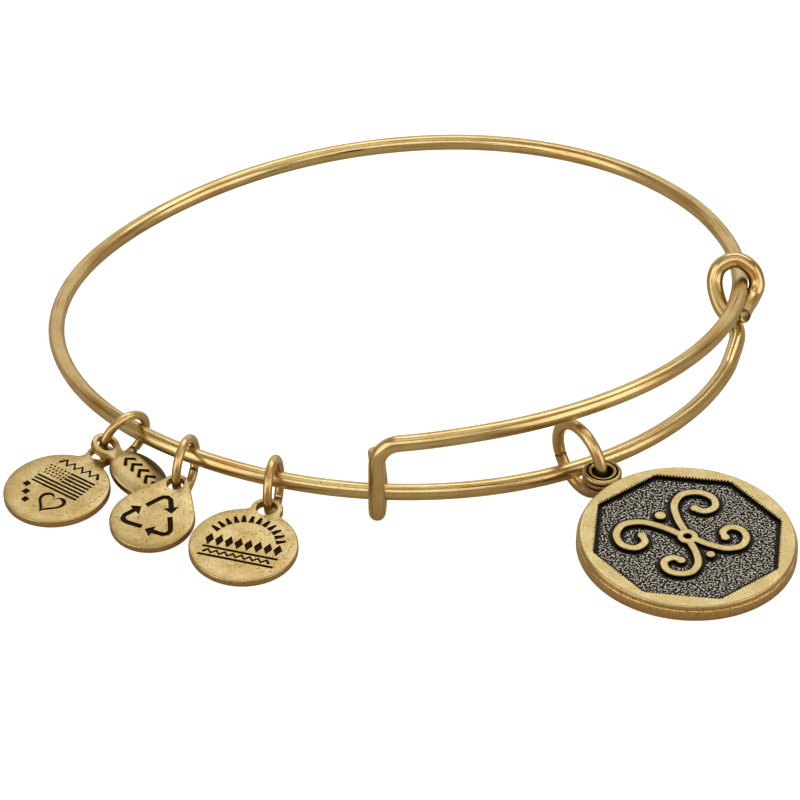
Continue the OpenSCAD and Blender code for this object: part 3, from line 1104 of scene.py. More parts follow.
@dataclass(frozen=True)
class RingSeat:
    """How a jump ring stands round the lower strand.

    Attributes:
        at: Angle on the strand.
        turn: Turn from straight out, in degrees.
        lean: Sideways lean in degrees.
        drawn: How far it is drawn out, as a share of its play.
        radius: Radius of the ring's centre line.
        wire_d: Wire of the ring.
        seam_at: Where its seam is, in degrees round the ring.
        seam: Opening at the seam in degrees.
    """

    at: float
    turn: float
    lean: float
    drawn: float
    radius: float
    wire_d: float
    seam_at: float
    seam: float = 0.3

    @property
    def way(self) -> Vector:
        """Level way that the ring points out."""
        return around(self.at - self.turn)

    def middle(self, wire: Wire) -> Vector:
        """Middle of the ring on the bangle's wire.

        Args:
            wire: The bangle's wire.

        Returns:
            The point.
        """
        strand = wire.strand(self.at)
        height = self.radius * math.cos(math.radians(self.lean)) + self.wire_d / 2 + REST_GAP
        room = self.radius - self.wire_d / 2 - wire.wire_d / 2 - CLEARANCE
        play = math.sqrt(room**2 - (strand.z - height) ** 2)
        return Vector((strand.x, strand.y, height)) + self.drawn * play * self.way

    def hole_spot(self, wire: Wire, height: float, away: float, hole_d: float) -> Vector:
        """Middle of a charm's hole that hangs on the ring's outer side.

        Args:
            wire: The bangle's wire.
            height: Height of the hole's middle.
            away: Way from the charm to the hole, in degrees.
            hole_d: Diameter of the hole.

        Returns:
            The point, drawn off the ring by the hole's play.
        """
        middle = self.middle(wire)
        lean = math.radians(self.lean)
        s = (height - middle.z) / (self.radius * math.cos(lean))
        upwards = UP * math.cos(lean) + math.sin(lean) * UP.cross(self.way)
        on = middle + self.radius * (math.sqrt(1 - s * s) * self.way + s * upwards)
        slack = (hole_d - self.wire_d) / 2 - 2.5 * CLEARANCE
        angle = math.radians(away)
        return on - slack * Vector((math.cos(angle), math.sin(angle), 0))

    def build(self, name: str, shop: "Workshop") -> Object:
        """Bends the ring and stands it in place.

        Args:
            name: Name of the piece.
            shop: Trees and finishes.

        Returns:
            The ring.
        """
        piece = mesh_object(name, ([], []))
        run_tree(
            piece, shop.ring_tree, Radius=self.radius * MM, Diameter=self.wire_d * MM,
            Seam=math.radians(self.seam), Sides=24, Finish=shop.ring_finish
        )
        stand = turned("Z", self.turn - self.at) @ turned("X", 90 - self.lean)
        spin = turned("Z", self.seam_at + self.seam / 2)
        piece.data.transform(Matrix.Translation(self.middle(shop.wire) * MM) @ stand @ spin)
        return smooth_shaded(piece, 50)


@dataclass(frozen=True)
class Lie:
    """How a charm lies: its tilt, the way down, and the way from its middle to its hole."""

    tilt: float
    down: float
    to_hole: float

    def turn(self) -> Matrix:
        """Turn from the flat charm to the lying one."""
        return turned("Z", self.down) @ turned("Y", self.tilt) @ turned(
            "Z", self.to_hole - self.down
        )

    def middle_height(self, edge_r: float) -> float:
        """Height of the underside's middle when the charm's low edge rests."""
        return edge_r * math.sin(math.radians(self.tilt)) + REST_GAP / 2


@dataclass(frozen=True)
class Hanging:
    """A charm's seat: its lie, the ring that holds it and the distance to its hole."""

    lie: Lie
    ring: RingSeat
    edge_r: float
    reach: float
    thickness: float
    hole_d: float
    drawn_way: float | None = None
    hole_height: float | None = None

    def height(self) -> float:
        """Height of the hole's middle.

        Returns:
            The height over the board.
        """
        if self.hole_height is not None:
            return self.hole_height
        hole = self.lie.turn() @ Vector((self.reach, 0, self.thickness / 2))
        return self.lie.middle_height(self.edge_r) + hole.z

    def place(self, wire: Wire) -> Matrix:
        """Where the charm lies, in millimetres.

        Args:
            wire: The bangle's wire.

        Returns:
            The place of a flat charm's points.
        """
        away = self.lie.to_hole if self.drawn_way is None else self.drawn_way
        spot = self.ring.hole_spot(wire, self.height(), away, self.hole_d)
        hole = self.lie.turn() @ Vector((self.reach, 0, self.thickness / 2))
        middle = Vector((spot.x - hole.x, spot.y - hole.y, self.lie.middle_height(self.edge_r)))
        return Matrix.Translation(middle) @ self.lie.turn()


# Outlines of the charms


def lug_outline(inset: float, disc_r: float, reach: float, lug_r: float, fillet: float) -> Outline:
    """Outline of a disc with a round lug and soft shoulders.

    Args:
        inset: Distance that the outline is drawn in.
        disc_r: Radius of the disc.
        reach: Distance to the lug's middle.
        lug_r: Radius of the lug.
        fillet: Radius of the shoulders.

    Returns:
        Points, anticlockwise.
    """
    a, b = disc_r + fillet, lug_r + fillet
    alpha = math.acos((a * a + reach * reach - b * b) / (2 * a * reach))
    shoulder = (a * math.cos(alpha), a * math.sin(alpha))
    gamma = math.degrees(math.atan2(shoulder[1], shoulder[0] - reach))
    angle = math.degrees(alpha)
    bend = fillet + inset
    return [
        *arc((0, 0), disc_r - inset, angle, 360 - angle, 120),
        *arc((shoulder[0], -shoulder[1]), bend, 180 - angle, 180 - gamma, 12),
        *arc((reach, 0), lug_r - inset, -gamma, gamma, 44),
        *arc(shoulder, bend, gamma - 180, angle - 180, 12)
    ]


def drop_outline(inset: float, round_r: float, reach: float, point_r: float) -> Outline:
    """Outline of a drop: a large and a small circle joined by tangents.

    Args:
        inset: Distance that the outline is drawn in.
        round_r: Radius of the round end.
        reach: Distance between the two middles.
        point_r: Radius of the point.

    Returns:
        Points, anticlockwise.
    """
    angle = math.degrees(math.acos((round_r - point_r) / reach))
    side = [(math.cos(math.radians(angle)), math.sin(math.radians(angle)) * s) for s in (1, -1)]
    big = [(x * (round_r - inset), y * (round_r - inset)) for x, y in side]
    small = [(reach + x * (point_r - inset), y * (point_r - inset)) for x, y in side]
    straight = [k / 8 for k in range(8)]
    return [
        *arc((0, 0), round_r - inset, angle, 360 - angle, 100),
        *[tuple(Vector(big[1]).lerp(Vector(small[1]), s)) for s in straight],
        *arc((reach, 0), point_r - inset, -angle, angle, 44),
        *[tuple(Vector(small[0]).lerp(Vector(big[0]), s)) for s in straight]
    ]


def hole_cutter(x: float, diameter: float, thickness: float) -> Solid:
    """Cutter for a hole whose rims are eased.

    Args:
        x: Distance of the hole's middle along +X.
        diameter: Diameter of the hole.
        thickness: Thickness of the charm there.

    Returns:
        Points and faces.
    """
    r, ease, out = diameter / 2, 0.07, 0.3
    rows = [
        (r + out + ease, -out), (r, ease), (r, thickness - ease), (r + out + ease, thickness + out)
    ]
    return stacked([(arc((x, 0), radius, 0, 360, 48), z) for radius, z in rows])


def arrow(line: Sequence[Point], width: float, head_w: float, head_l: float) -> Outline:
    """Outline of a bent arrow, anticlockwise.

    Args:
        line: Points of its shaft, of which the last is the tip.
        width: Width of the shaft.
        head_w: Width of the head.
        head_l: Length of the head.

    Returns:
        Points of the outline.
    """
    at = [Vector(p) for p in line]
    way = (at[-1] - at[-2]).normalized()
    neck = at[-1] - way * head_l
    side = Vector((-way.y, way.x))
    shaft = band([*at[:-1], neck - way * 0.001, neck], width)
    half = len(shaft) // 2
    head = [neck - side * head_w / 2, at[-1], neck + side * head_w / 2]
    return [*shaft[:half], *[tuple(p) for p in head], *shaft[half:]]


@dataclass
class Workshop:
    """What the pieces share: the wire, the node trees and the common finishes."""

    wire: Wire = field(default_factory=Wire)
    wire_tree: NodeTree = field(default_factory=wire_tree)
    ring_tree: NodeTree = field(default_factory=jump_ring_tree)
    row_tree: NodeTree = field(default_factory=row_tree)
    stipple_tree: NodeTree = field(default_factory=stipple_tree)
    wire_finish: Material = field(
        default_factory=DrawnBrass("drawn_brass_wire_antiqued").material
    )
    ring_finish: Material = field(
        default_factory=DrawnBrass(
            "drawn_brass_ring_wire_antiqued", gold="#D6C18A", warm="#C9A468", tarnish_from=0.74,
            roughness=0.24
        ).material
    )
    oxide: Material = field(default_factory=OxideFill("oxidised_engraving").material)

    def marks(self, solids: Iterable[Solid]) -> Object:
        """One cutter of several marks that don't touch."""
        return faced_out(mesh_object("marks", together(solids), [self.oxide]))

    def row(self, path: Iterable[Point], mark: Solid, pitch: float, uneven: float = 0.0) -> Object:
        """Makes a cutter of marks in a row.

        Args:
            path: Points of the row's path, in millimetres.
            mark: One mark about its own middle, along +X.
            pitch: Distance from mark to mark.
            uneven: Largest share that a mark's length across the path is cut by.

        Returns:
            The row as one piece.
        """
        one = mesh_object("mark", mark)
        row = line_object("marks", [(x * MM, y * MM, 0.0) for x, y in path])
        run_tree(row, self.row_tree, Mark=one, Pitch=pitch * MM, Uneven=uneven, Finish=self.oxide)
        bpy.data.objects.remove(one, do_unlink=True)
        return faced_out(row)


def fit(piece: Object, node: str) -> Object:
    """Hands a finished piece to the frame in place of its solid.

    Args:
        piece: The finished piece.
        node: The solid that it stands for.

    Returns:
        The piece.
    """
    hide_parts(node)
    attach(piece, "root")
    LOG.info("%s: %d faces, stands for %s", piece.name, len(piece.data.polygons), node)
    return piece


@dataclass(frozen=True)
class Bangle:
    """The wire and its four jump rings."""

    small_r: float = 2.4
    small_wire_d: float = 0.8
    main_r: float = 3.2
    main_wire_d: float = 1.05

    def seats(self) -> dict[str, RingSeat]:
        """How each ring stands.

        Returns:
            The seats by the name of the ring's solid.
        """
        small = (self.small_r, self.small_wire_d)
        return {
            "left_jump_ring": RingSeat(137.1, -1, 13, 1, *small, 232),
            "middle_jump_ring": RingSeat(124.8, 16, 0, 1, *small, 215),
            "right_jump_ring": RingSeat(109.8, 8, -2, 0.85, *small, 235),
            "main_jump_ring": RingSeat(60.4, 5, -6, 0.33, self.main_r, self.main_wire_d, 198)
        }

    def build(self, shop: Workshop) -> None:
        """Builds the wire and the rings.

        Args:
            shop: Trees and finishes.
        """
        fit(shop.wire.build(shop.wire_tree, shop.wire_finish), "bangle_wire")
        for node, seat in self.seats().items():
            fit(seat.build("drawn_" + node, shop), node)


@dataclass(frozen=True)
class Charm:
    """A small flat stamped charm with a hole and engraved marks."""

    node: str
    seat: Hanging
    radius: float
    outline: Callable[[float], Outline] | None = None
    thickness: float = CHARM_T
    cut_depth: float = 0.09
    far_painted_shade: float | None = None

    def cutters(self, shop: Workshop) -> list[Object]:
        """Marks to cut into the face; a plain charm has none."""
        return []

    def mark(self, outline: Outline) -> Solid:
        """One mark's cutter, from the bottom of the cut to above the face."""
        return prism(outline, self.thickness - self.cut_depth, self.thickness + OVER)

    def body(self, finish: Material) -> Object:
        """The charm without its hole and marks."""
        plate = rounded_plate(self.outline, 0, self.thickness, EDGE, worn=0.08)
        return mesh_object("stamped_" + self.node, plate, [finish])

    def build(self, shop: Workshop) -> Object:
        """Stamps, pierces and engraves the charm, and lays it down.

        Args:
            shop: Trees and finishes.

        Returns:
            The charm.
        """
        place = self.seat.place(shop.wire)
        finish = BlastedBrass(
            "sandblasted_brass_" + self.node, place, self.seat.thickness, self.radius,
            far_painted_shade=self.far_painted_shade
        ).material()
        piece = self.body(finish)
        hole = hole_cutter(self.seat.reach, self.seat.hole_d, self.seat.thickness)
        combine(piece, mesh_object("hole", hole, [finish]), "DIFFERENCE")
        for cutter in self.cutters(shop):
            combine(piece, cutter, "DIFFERENCE")
        piece.data.transform(in_metres(place))
        return fit(smooth_shaded(piece), self.node)


@dataclass(frozen=True)
class HeartDisc(Charm):
    """Disc with a heart outline, a striped panel with a dotted corner, lozenges and a zigzag."""

    def cutters(self, shop: Workshop) -> list[Object]:
        """Heart, stripes, dots, lozenges and zigzag line.

        Args:
            shop: Trees and finishes.

        Returns:
            The cutters.
        """
        loops = []
        for x0, tall, wide in ((-1.88, 0.09, 0.083), (-1.87, 0.066, 0.062)):
            angles = [2 * math.pi * (k + 0.5) / 60 for k in range(60)]
            waves = [sum(k * math.cos(n * a) for n, k in HEART_WAVES) for a in angles]
            loops.append(
                [
                    Vector((x0 + tall * wave, -0.9 - wide * 16 * math.sin(a) ** 3))
                    for a, wave in zip(angles, waves)
                ]
            )
        heart = upright_ring(*loops, self.thickness - self.cut_depth, self.thickness + OVER)
        stripes = []
        for i in range(7):
            x, left = 1.98 - 0.41 * i, 2.55 if i > 3 else 0.2
            stripes.append(self.mark([(x, left), (x, -2.58), (x + 0.23, -2.58), (x + 0.23, left)]))
        zigzag = [Vector((2.72 + (0.62 if k % 2 else 0), 2.1 - 0.44 * k)) for k in range(11)]
        dot = self.mark(arc((0, 0), 0.12, 0, 360, 8))
        lozenge = self.mark([(0.42, 0), (0, 0.4), (-0.42, 0), (0, -0.4)])
        starts = [(2.08 - 0.36 * i, 2.4 - 0.18 * (i % 2)) for i in range(4)]
        return [
            shop.marks([heart, *stripes, self.mark(band(zigzag, 0.32))]),
            *[shop.row([start, (start[0], 0.4)], dot, 0.36) for start in starts],
            shop.row([(-1.05, 2.5), (-2.75, 1.2)], lozenge, 1.02)
        ]


def upright_ring(
    outer: Sequence[Vector], inner: Sequence[Vector], low: float, high: float
) -> Solid:
    """Closed upright band between an outer and an inner loop of equal count.

    Args:
        outer: Outer loop.
        inner: Inner loop.
        low: Lower height.
        high: Upper height.

    Returns:
        Points and faces.
    """
    n = len(outer)
    points = [Vector((*p.xy, z)) for z in (low, high) for loop in (outer, inner) for p in loop]
    faces = []
    for k in range(n):
        m = (k + 1) % n
        faces += [
            (k, m, 2 * n + m, 2 * n + k), (n + m, n + k, 3 * n + k, 3 * n + m),
            (m, k, n + k, n + m), (2 * n + k, 2 * n + m, 3 * n + m, 3 * n + k)
        ]
    return points, faces


@dataclass(frozen=True)
class ArrowDrop(Charm):
    """Drop with three bent arrows that chase each other."""

    def cutters(self, shop: Workshop) -> list[Object]:
        """The three arrows.

        Args:
            shop: Trees and finishes.

        Returns:
            The cutters.
        """
        shaft = [(1.1, 1.1), (2.25, 0.42), (2.55, 0.18), (2.68, -0.18), (2.5, -0.55), (0.98, -1.4)]
        middle = Vector((0.11, -0.02))
        marks = []
        for k in range(3):
            turn = Matrix.Rotation(math.radians(-120 * k), 2)
            line = [tuple(middle + turn @ (Vector(p) - middle)) for p in shaft]
            marks.append(self.mark(arrow(line, 0.47, 1.4, 0.75)))
        return [shop.marks(marks)]


@dataclass(frozen=True)
class BorderDisc(Charm):
    """Disc with an arc of rays, a row of lozenges and a zigzag between two rules."""

    def cutters(self, shop: Workshop) -> list[Object]:
        """Rules and zigzag, lozenges and rays.

        Args:
            shop: Trees and finishes.

        Returns:
            The cutters.
        """
        rules = [
            self.mark([(x - 0.36, 3.2), (x + 0.31, -3.5), (x + 0.59, -3.5), (x - 0.08, 3.2)])
            for x in (-1.22, -2.29)
        ]
        zigzag = [
            Vector((-1.65 - 0.1 * y + (0.2 if k % 2 else -0.2), y))
            for k, y in ((k, 2.9 - 0.37 * k) for k in range(17))
        ]
        lozenge = self.mark([(0.39, 0), (0, 0.76), (-0.39, 0), (0, -0.76)])
        # rays stand across the path, with their broad ends outwards
        ray = self.mark([(0.12, -0.44), (0.26, 0.44), (-0.26, 0.44), (-0.12, -0.44)])
        return [
            shop.marks([*rules, self.mark(band(zigzag, 0.3))]),
            shop.row([(-0.43, 2.95), (0.29, -3.05)], lozenge, 0.86),
            shop.row(arc((0, 0), 3.2, -64, 74, 60), ray, 0.66)
        ]


@dataclass(frozen=True)
class OvalTag(Charm):
    """Domed oval tag with a row of chevrons."""

    length: float = 5.7
    width: float = 4.6
    thickness: float = 1.0
    lug_r: float = 1.25

    def dome(self, share: float) -> float:
        """Height of the dome at a share of the oval's half width."""
        return self.thickness * (0.5 + 0.5 * math.sqrt(max(0.0, 1 - share**2.8)))

    def body(self, finish: Material) -> Object:
        """The dome, joined to its neck and lug.

        Args:
            finish: Material of the piece.

        Returns:
            The piece.
        """
        rows = [(0.94, 0.0), (0.975, 0.03), (0.995, 0.09), (1.0, 0.17), (1.0, 0.46)]
        rows += [
            (s, self.dome(s))
            for s in (0.998, 0.99, 0.975, 0.95, 0.9, 0.82, 0.7, 0.55, 0.4, 0.25, 0.1)
        ]
        angles = [2 * math.pi * k / 96 for k in range(96)]
        oval = [(self.length / 2 * math.cos(a), self.width / 2 * math.sin(a)) for a in angles]
        dome = stacked([([(s * x, s * y) for x, y in oval], z) for s, z in rows])
        piece = mesh_object("stamped_" + self.node, dome, [finish])
        start = 0.7
        plate = rounded_plate(
            lambda inset: [
                (x + start, y)
                for x, y in lug_outline(inset, 1.5, self.seat.reach - start, self.lug_r, 1.4)
            ],
            0.01, self.seat.thickness, 0.12
        )
        return combine(piece, mesh_object("lug", plate, [finish]), "UNION")

    def cutters(self, shop: Workshop) -> list[Object]:
        """Chevrons, each as deep as the rest below the dome.

        Args:
            shop: Trees and finishes.

        Returns:
            The cutters.
        """
        marks = []
        for k in range(5):
            x = -1.75 + 0.82 * k
            line = [Vector((x - 0.28, 0.72)), Vector((x + 0.26, 0.0)), Vector((x - 0.28, -0.72))]
            depth = self.dome(abs(x) / self.length * 2) - 0.1
            marks.append(prism(band(line, 0.36), depth, self.thickness + OVER))
        return [shop.marks(marks)]


@dataclass(frozen=True)
class Medallion:
    """Cast medallion: stepped edge, sunk stippled octagon, raised scrolls and a tube bail."""

    ring: RingSeat
    diameter: float = 18.9
    thickness: float = 1.5
    rim_w: float = 1.0
    field_depth: float = 0.35
    stroke_w: float = 0.65
    bail_d: float = 3.4
    bail_hole_d: float = 1.8
    bail_h: float = 1.45
    bail_overlap: float = 0.15
    groove: float = 0.15
    scroll: tuple[Point, ...] = (
        (0.04, 0), (0.07, 0.17), (0.16, 0.4), (0.31, 0.62), (0.54, 0.72), (0.75, 0.62),
        (0.83, 0.42), (0.73, 0.25), (0.55, 0.26), (0.48, 0.4),
    )  # fmt: skip
    scroll_size: float = 0.33
    lower_scroll: float = 0.82
    ring_r: float = 0.91
    eye_r: float = 0.36
    buds: tuple[Point, ...] = ((3.49, 0.49), (-2.93, 0.39))
    ground_t: float = 0.2
    grid: float = 0.055
    grain_size: float = 0.2
    grain_height: float = 0.08

    @property
    def seat(self) -> Hanging:
        """How the medallion lies, with its bail let into its edge.

        Returns:
            The seat.
        """
        reach = (self.diameter + self.bail_d) / 2 - self.bail_overlap
        lie = Lie(8.2, -74, 129.9)
        return Hanging(
            lie, self.ring, self.radius - EDGE, reach, self.thickness, self.bail_hole_d,
            drawn_way=90
        )

    @property
    def radius(self) -> float:
        """Radius of the medallion."""
        return self.diameter / 2

    @property
    def floor(self) -> float:
        """Height of the sunk field's floor."""
        return self.thickness - self.field_depth

    def octagon(self, inset: float, count: int) -> Outline:
        """Octagon of the sunk field, as points at even angles.

        Args:
            inset: Distance that its sides are drawn in.
            count: Number of points, a multiple of 16.

        Returns:
            Points, anticlockwise, with one at each corner.
        """
        side = (self.radius - self.rim_w) * math.cos(math.pi / 8) - inset
        points = []
        for k in range(count):
            a = 2 * math.pi * k / count
            off = (a + math.pi / 8) % (math.pi / 4) - math.pi / 8
            points.append((side / math.cos(off) * math.cos(a), side / math.cos(off) * math.sin(a)))
        return points

    def body(self, finish: Material) -> Object:
        """The plate with its stepped edge and its sunk octagon.

        Args:
            finish: Material of the piece.

        Returns:
            The piece.
        """
        r, t, g = self.radius, self.thickness, self.groove
        count = 192
        edge = [
            (r - 0.2, 0), (r - 0.15, 0), (r - 0.09, 0.02), (r - 0.03, 0.07), (r, 0.15),
            (r, 0.64 * t), (r - 0.02, 0.68 * t), (r - 0.07, 0.71 * t),
            (r - g - 0.03, 0.73 * t), (r - g - 0.03, 0.77 * t), (r - g, 0.79 * t),
            (r - g, 0.86 * t), (r - g - 0.02, 0.92 * t), (r - g - 0.07, 0.97 * t),
            (r - g - 0.16, t), (r - g - 0.2, t),
        ]  # fmt: skip
        lip = [(-0.09, t), (-0.06, t), (-0.02, t - 0.02), (0, t - 0.06), (0, self.floor)]
        rows = [(arc((0, 0), out, 0, 360, count), z) for out, z in edge]
        rows += [(self.octagon(inset, count), z) for inset, z in lip]
        return mesh_object("cast_medallion", stacked(rows), [finish])

    def strokes(self) -> list[list[Vector]]:
        """Centre lines of the four scrolls, with up towards the bail.

        Returns:
            The lines, the last two mirrored.
        """
        size = self.scroll_size * self.diameter
        upper = [p * size for p in through(self.scroll, 10)]
        stem = upper[0].x
        small = self.lower_scroll
        lower = [Vector((stem + (p.x - stem) * small, -p.y * small)) for p in upper]
        mirrored = [[Vector((-p.x, p.y)) for p in line] for line in (upper, lower)]
        return [[Vector((p.y, -p.x)) for p in line] for line in (upper, lower, *mirrored)]

    def scrolls(self, finish: Material) -> Object:
        """The raised scrolls, the ring that ties them together and the buds.

        Args:
            finish: Material of the piece.

        Returns:
            The piece.
        """
        low, t, w, ease = self.floor - 0.1, self.thickness, self.stroke_w, 0.07
        rows = [
            (0.0, low), (0.0, t - ease), (0.3 * ease, t - 0.3 * ease), (ease, t), (ease + 0.03, t)
        ]
        # these parts overlap, so strokes, round ends and ring differ in height by a hair
        rows = [(inset, z - 0.02) for inset, z in rows]
        solids = []
        # the strokes start inside the ring that ties them, this far from the middle
        start = 0.62
        # the last two are mirrored, so their outlines are read backwards
        for line, way in zip(self.strokes(), (1, 1, -1, -1)):
            free = [p for p in line if p.length > start]
            solids.append(stacked([(band(free, w - 2 * inset)[::way], z) for inset, z in rows]))
        spots = [(tuple(line[-1]), 0.6 * w, 0.004) for line in self.strokes()]
        spots += [((x, 0), r, 0.0) for x, r in self.buds]
        for middle, r, lift in spots:
            discs = [(arc(middle, r - inset, 0, 360, 40), z + lift) for inset, z in rows]
            solids.append(stacked(discs))
        inner, outer = self.eye_r, self.ring_r
        ring = [(outer - inset, z + 0.03) for inset, z in rows]
        ring += [(inner + inset, z + 0.03) for inset, z in reversed(rows)]
        solids.append(lathed(ring, (0, 0), 64))
        return faced_out(mesh_object("cast_scrolls", together(solids), [finish]))

    def ground(self, shop: Workshop) -> Object:
        """The field's floor: a fine slab whose top carries the stippling.

        Args:
            shop: Trees and finishes.

        Returns:
            The piece.
        """
        side = (self.radius - self.rim_w) * math.cos(math.pi / 8)
        count = int(2 * side / self.grid)
        line = np.linspace(-side - 0.02, side + 0.02, count)
        x, y = np.meshgrid(line, line, indexing="ij")
        reach = np.maximum.reduce([
            np.abs(x), np.abs(y), np.abs(x + y) / math.sqrt(2), np.abs(x - y) / math.sqrt(2)
        ])  # fmt: skip
        keep = reach < side + 0.03
        number = np.arange(keep.size).reshape(keep.shape)
        inside = keep[:-1, :-1] & keep[1:, :-1] & keep[1:, 1:] & keep[:-1, 1:]
        quads = np.stack(
            [number[:-1, :-1], number[1:, :-1], number[1:, 1:], number[:-1, 1:]], axis=-1
        )[inside]
        used, quads = np.unique(quads, return_inverse=True)
        quads = quads.reshape(-1, 4).tolist()
        spots = np.stack([x.ravel()[used], y.ravel()[used]], axis=-1)
        room = side - reach.ravel()[used]
        for stroke in self.strokes():
            points = np.array([p[:] for p in stroke])
            for k in range(0, len(points), 2):
                # the last point is the middle of the stroke's round end
                width = self.stroke_w * (0.6 if k > len(points) - 3 else 0.5)
                room = np.minimum(room, np.hypot(*(spots - points[k]).T) - width)
        for x, r in (*self.buds, (0, self.ring_r)):
            room = np.minimum(room, np.hypot(*(spots - np.array([x, 0])).T) - r)
        # grains grow to their full height over this distance from a wall or a scroll, so the ground
        # there is lower and darker, a painted halo of shade
        painted_halo_width = 0.42
        free = np.clip((room - 0.02) / painted_halo_width, 0, 1)
        # a quad's edge that no other quad runs back along is on the rim
        edges = {edge for quad in quads for edge in zip(quad, quad[1:] + quad[:1])}
        after = {a: b for a, b in edges if (b, a) not in edges}
        rim = [min(after)]
        while after[rim[-1]] != rim[0]:
            rim.append(after[rim[-1]])
        low = range(len(spots), len(spots) + len(rim))
        walls = [(rim[k], rim[k - 1], low[k - 1], low[k]) for k in range(len(rim))]
        top = [(px * MM, py * MM, self.floor * MM) for px, py in spots]
        base = [(*top[i][:2], (self.floor - self.ground_t) * MM) for i in rim]
        mesh = bpy.data.meshes.new("stippled_ground")
        mesh.from_pydata([*top, *base], [], [*quads, *walls, tuple(reversed(low))])
        grown = mesh.attributes.new("open", "FLOAT", "POINT")
        grown.data.foreach_set("value", [*free, *[0.0] * len(rim)])
        piece = in_scene("stippled_ground", mesh)
        finish = StippledGround("blackened_stippled_brass").material()
        return run_tree(
            piece, shop.stipple_tree, Size=self.grain_size * MM, Height=self.grain_height * MM,
            Finish=finish
        )

    def notches(self, shop: Workshop) -> Object:
        """Cutter for the notches milled down the sunk field's walls and into its lip.

        Args:
            shop: Trees and finishes.

        Returns:
            The cutter.
        """
        reach = self.radius - self.rim_w
        corners = [
            Vector((reach * math.cos(a), reach * math.sin(a)))
            for a in (math.pi / 8 * (2 * k + 1) for k in range(8))
        ]
        notch = prism(
            [(-0.06, -0.2), (0.06, -0.2), (0.07, 0.1), (-0.07, 0.1)], self.floor + 0.05,
            self.thickness + 0.1
        )
        work = bmesh.new()
        for k in range(8):
            a, b = corners[k], corners[(k + 1) % 8]
            path = [tuple(a.lerp(b, s)) for s in (0.03, 0.5, 0.97)]
            row = shop.row(path, notch, 0.27, uneven=0.6)
            work.from_mesh(row.data)
            bpy.data.objects.remove(row, do_unlink=True)
        bmesh.ops.recalc_face_normals(work, faces=work.faces)
        cutter = mesh_object("notches", ([], []), [shop.oxide])
        work.to_mesh(cutter.data)
        work.free()
        return cutter

    def bail(self, shop: Workshop, finish: Material) -> Object:
        """The tube bail, with rounded lips, and black left in its grooves and hole.

        Args:
            shop: Trees and finishes.
            finish: Material of the piece.

        Returns:
            The piece.
        """
        r, hole, h, g = self.bail_d / 2, self.bail_hole_d / 2, self.bail_h, self.groove
        low = (self.thickness - h) / 2
        profile = [
            (hole + 0.1, 0), (r - 0.12, 0), (r - 0.03, 0.05), (r, 0.12), (r, 0.25 * h),
            (r - g, 0.3 * h), (r - g, 0.39 * h), (r, 0.44 * h),
            (r, 0.59 * h), (r - g, 0.65 * h), (r - g, 0.74 * h),
            (r, 0.8 * h), (r, 0.88 * h), (r - 0.06, 0.95 * h), (r - 0.16, h), (r - 0.28, h),
            (r - 0.34, 0.93 * h), (r - 0.46, 0.93 * h), (r - 0.52, h), (hole + 0.14, h),
            (hole + 0.04, 0.96 * h), (hole, 0.88 * h), (hole, 0.12), (hole + 0.03, 0.04),
        ]  # fmt: skip
        black = {5, 6, 9, 10, 16, 17, 20, 21, 22}
        tube = lathed([(out, low + z) for out, z in profile], (self.seat.reach, 0), 72)
        piece = faced_out(mesh_object("cast_bail", tube, [finish, shop.oxide]))
        for face in piece.data.polygons:
            x, y, z = face.center / MM
            out = math.hypot(x - self.seat.reach, y)
            ends = zip(profile, profile[1:] + profile[:1])
            near = min(
                (
                    (abs((p[0] + q[0]) / 2 - out) + abs((p[1] + q[1]) / 2 + low - z), k)
                    for k, (p, q) in enumerate(ends)
                )
            )
            face.material_index = 1 if near[1] in black else 0
        return piece

    def build(self, shop: Workshop) -> None:
        """Builds all the medallion's pieces and lays them down.

        Args:
            shop: Trees and finishes.
        """
        place = self.seat.place(shop.wire)
        cast = BlastedBrass(
            "sand_cast_brass_medallion", place, self.thickness, self.radius, gold="#C2B47E",
            pale="#D5CB9B", edge_gold="#DDBB7C", edge_tarnish=0.8,
            recess=self.radius - self.rim_w + 0.03
        ).material()
        polished = BlastedBrass(
            "rubbed_brass_bail", place, self.thickness, self.radius, roughness=0.26
        ).material()
        pieces = [
            combine(self.body(cast), self.notches(shop), "DIFFERENCE"), self.scrolls(cast),
            self.ground(shop), self.bail(shop, polished)
        ]
        for piece in pieces:
            piece.data.transform(in_metres(place))
            fit(smooth_shaded(piece), "medallion")


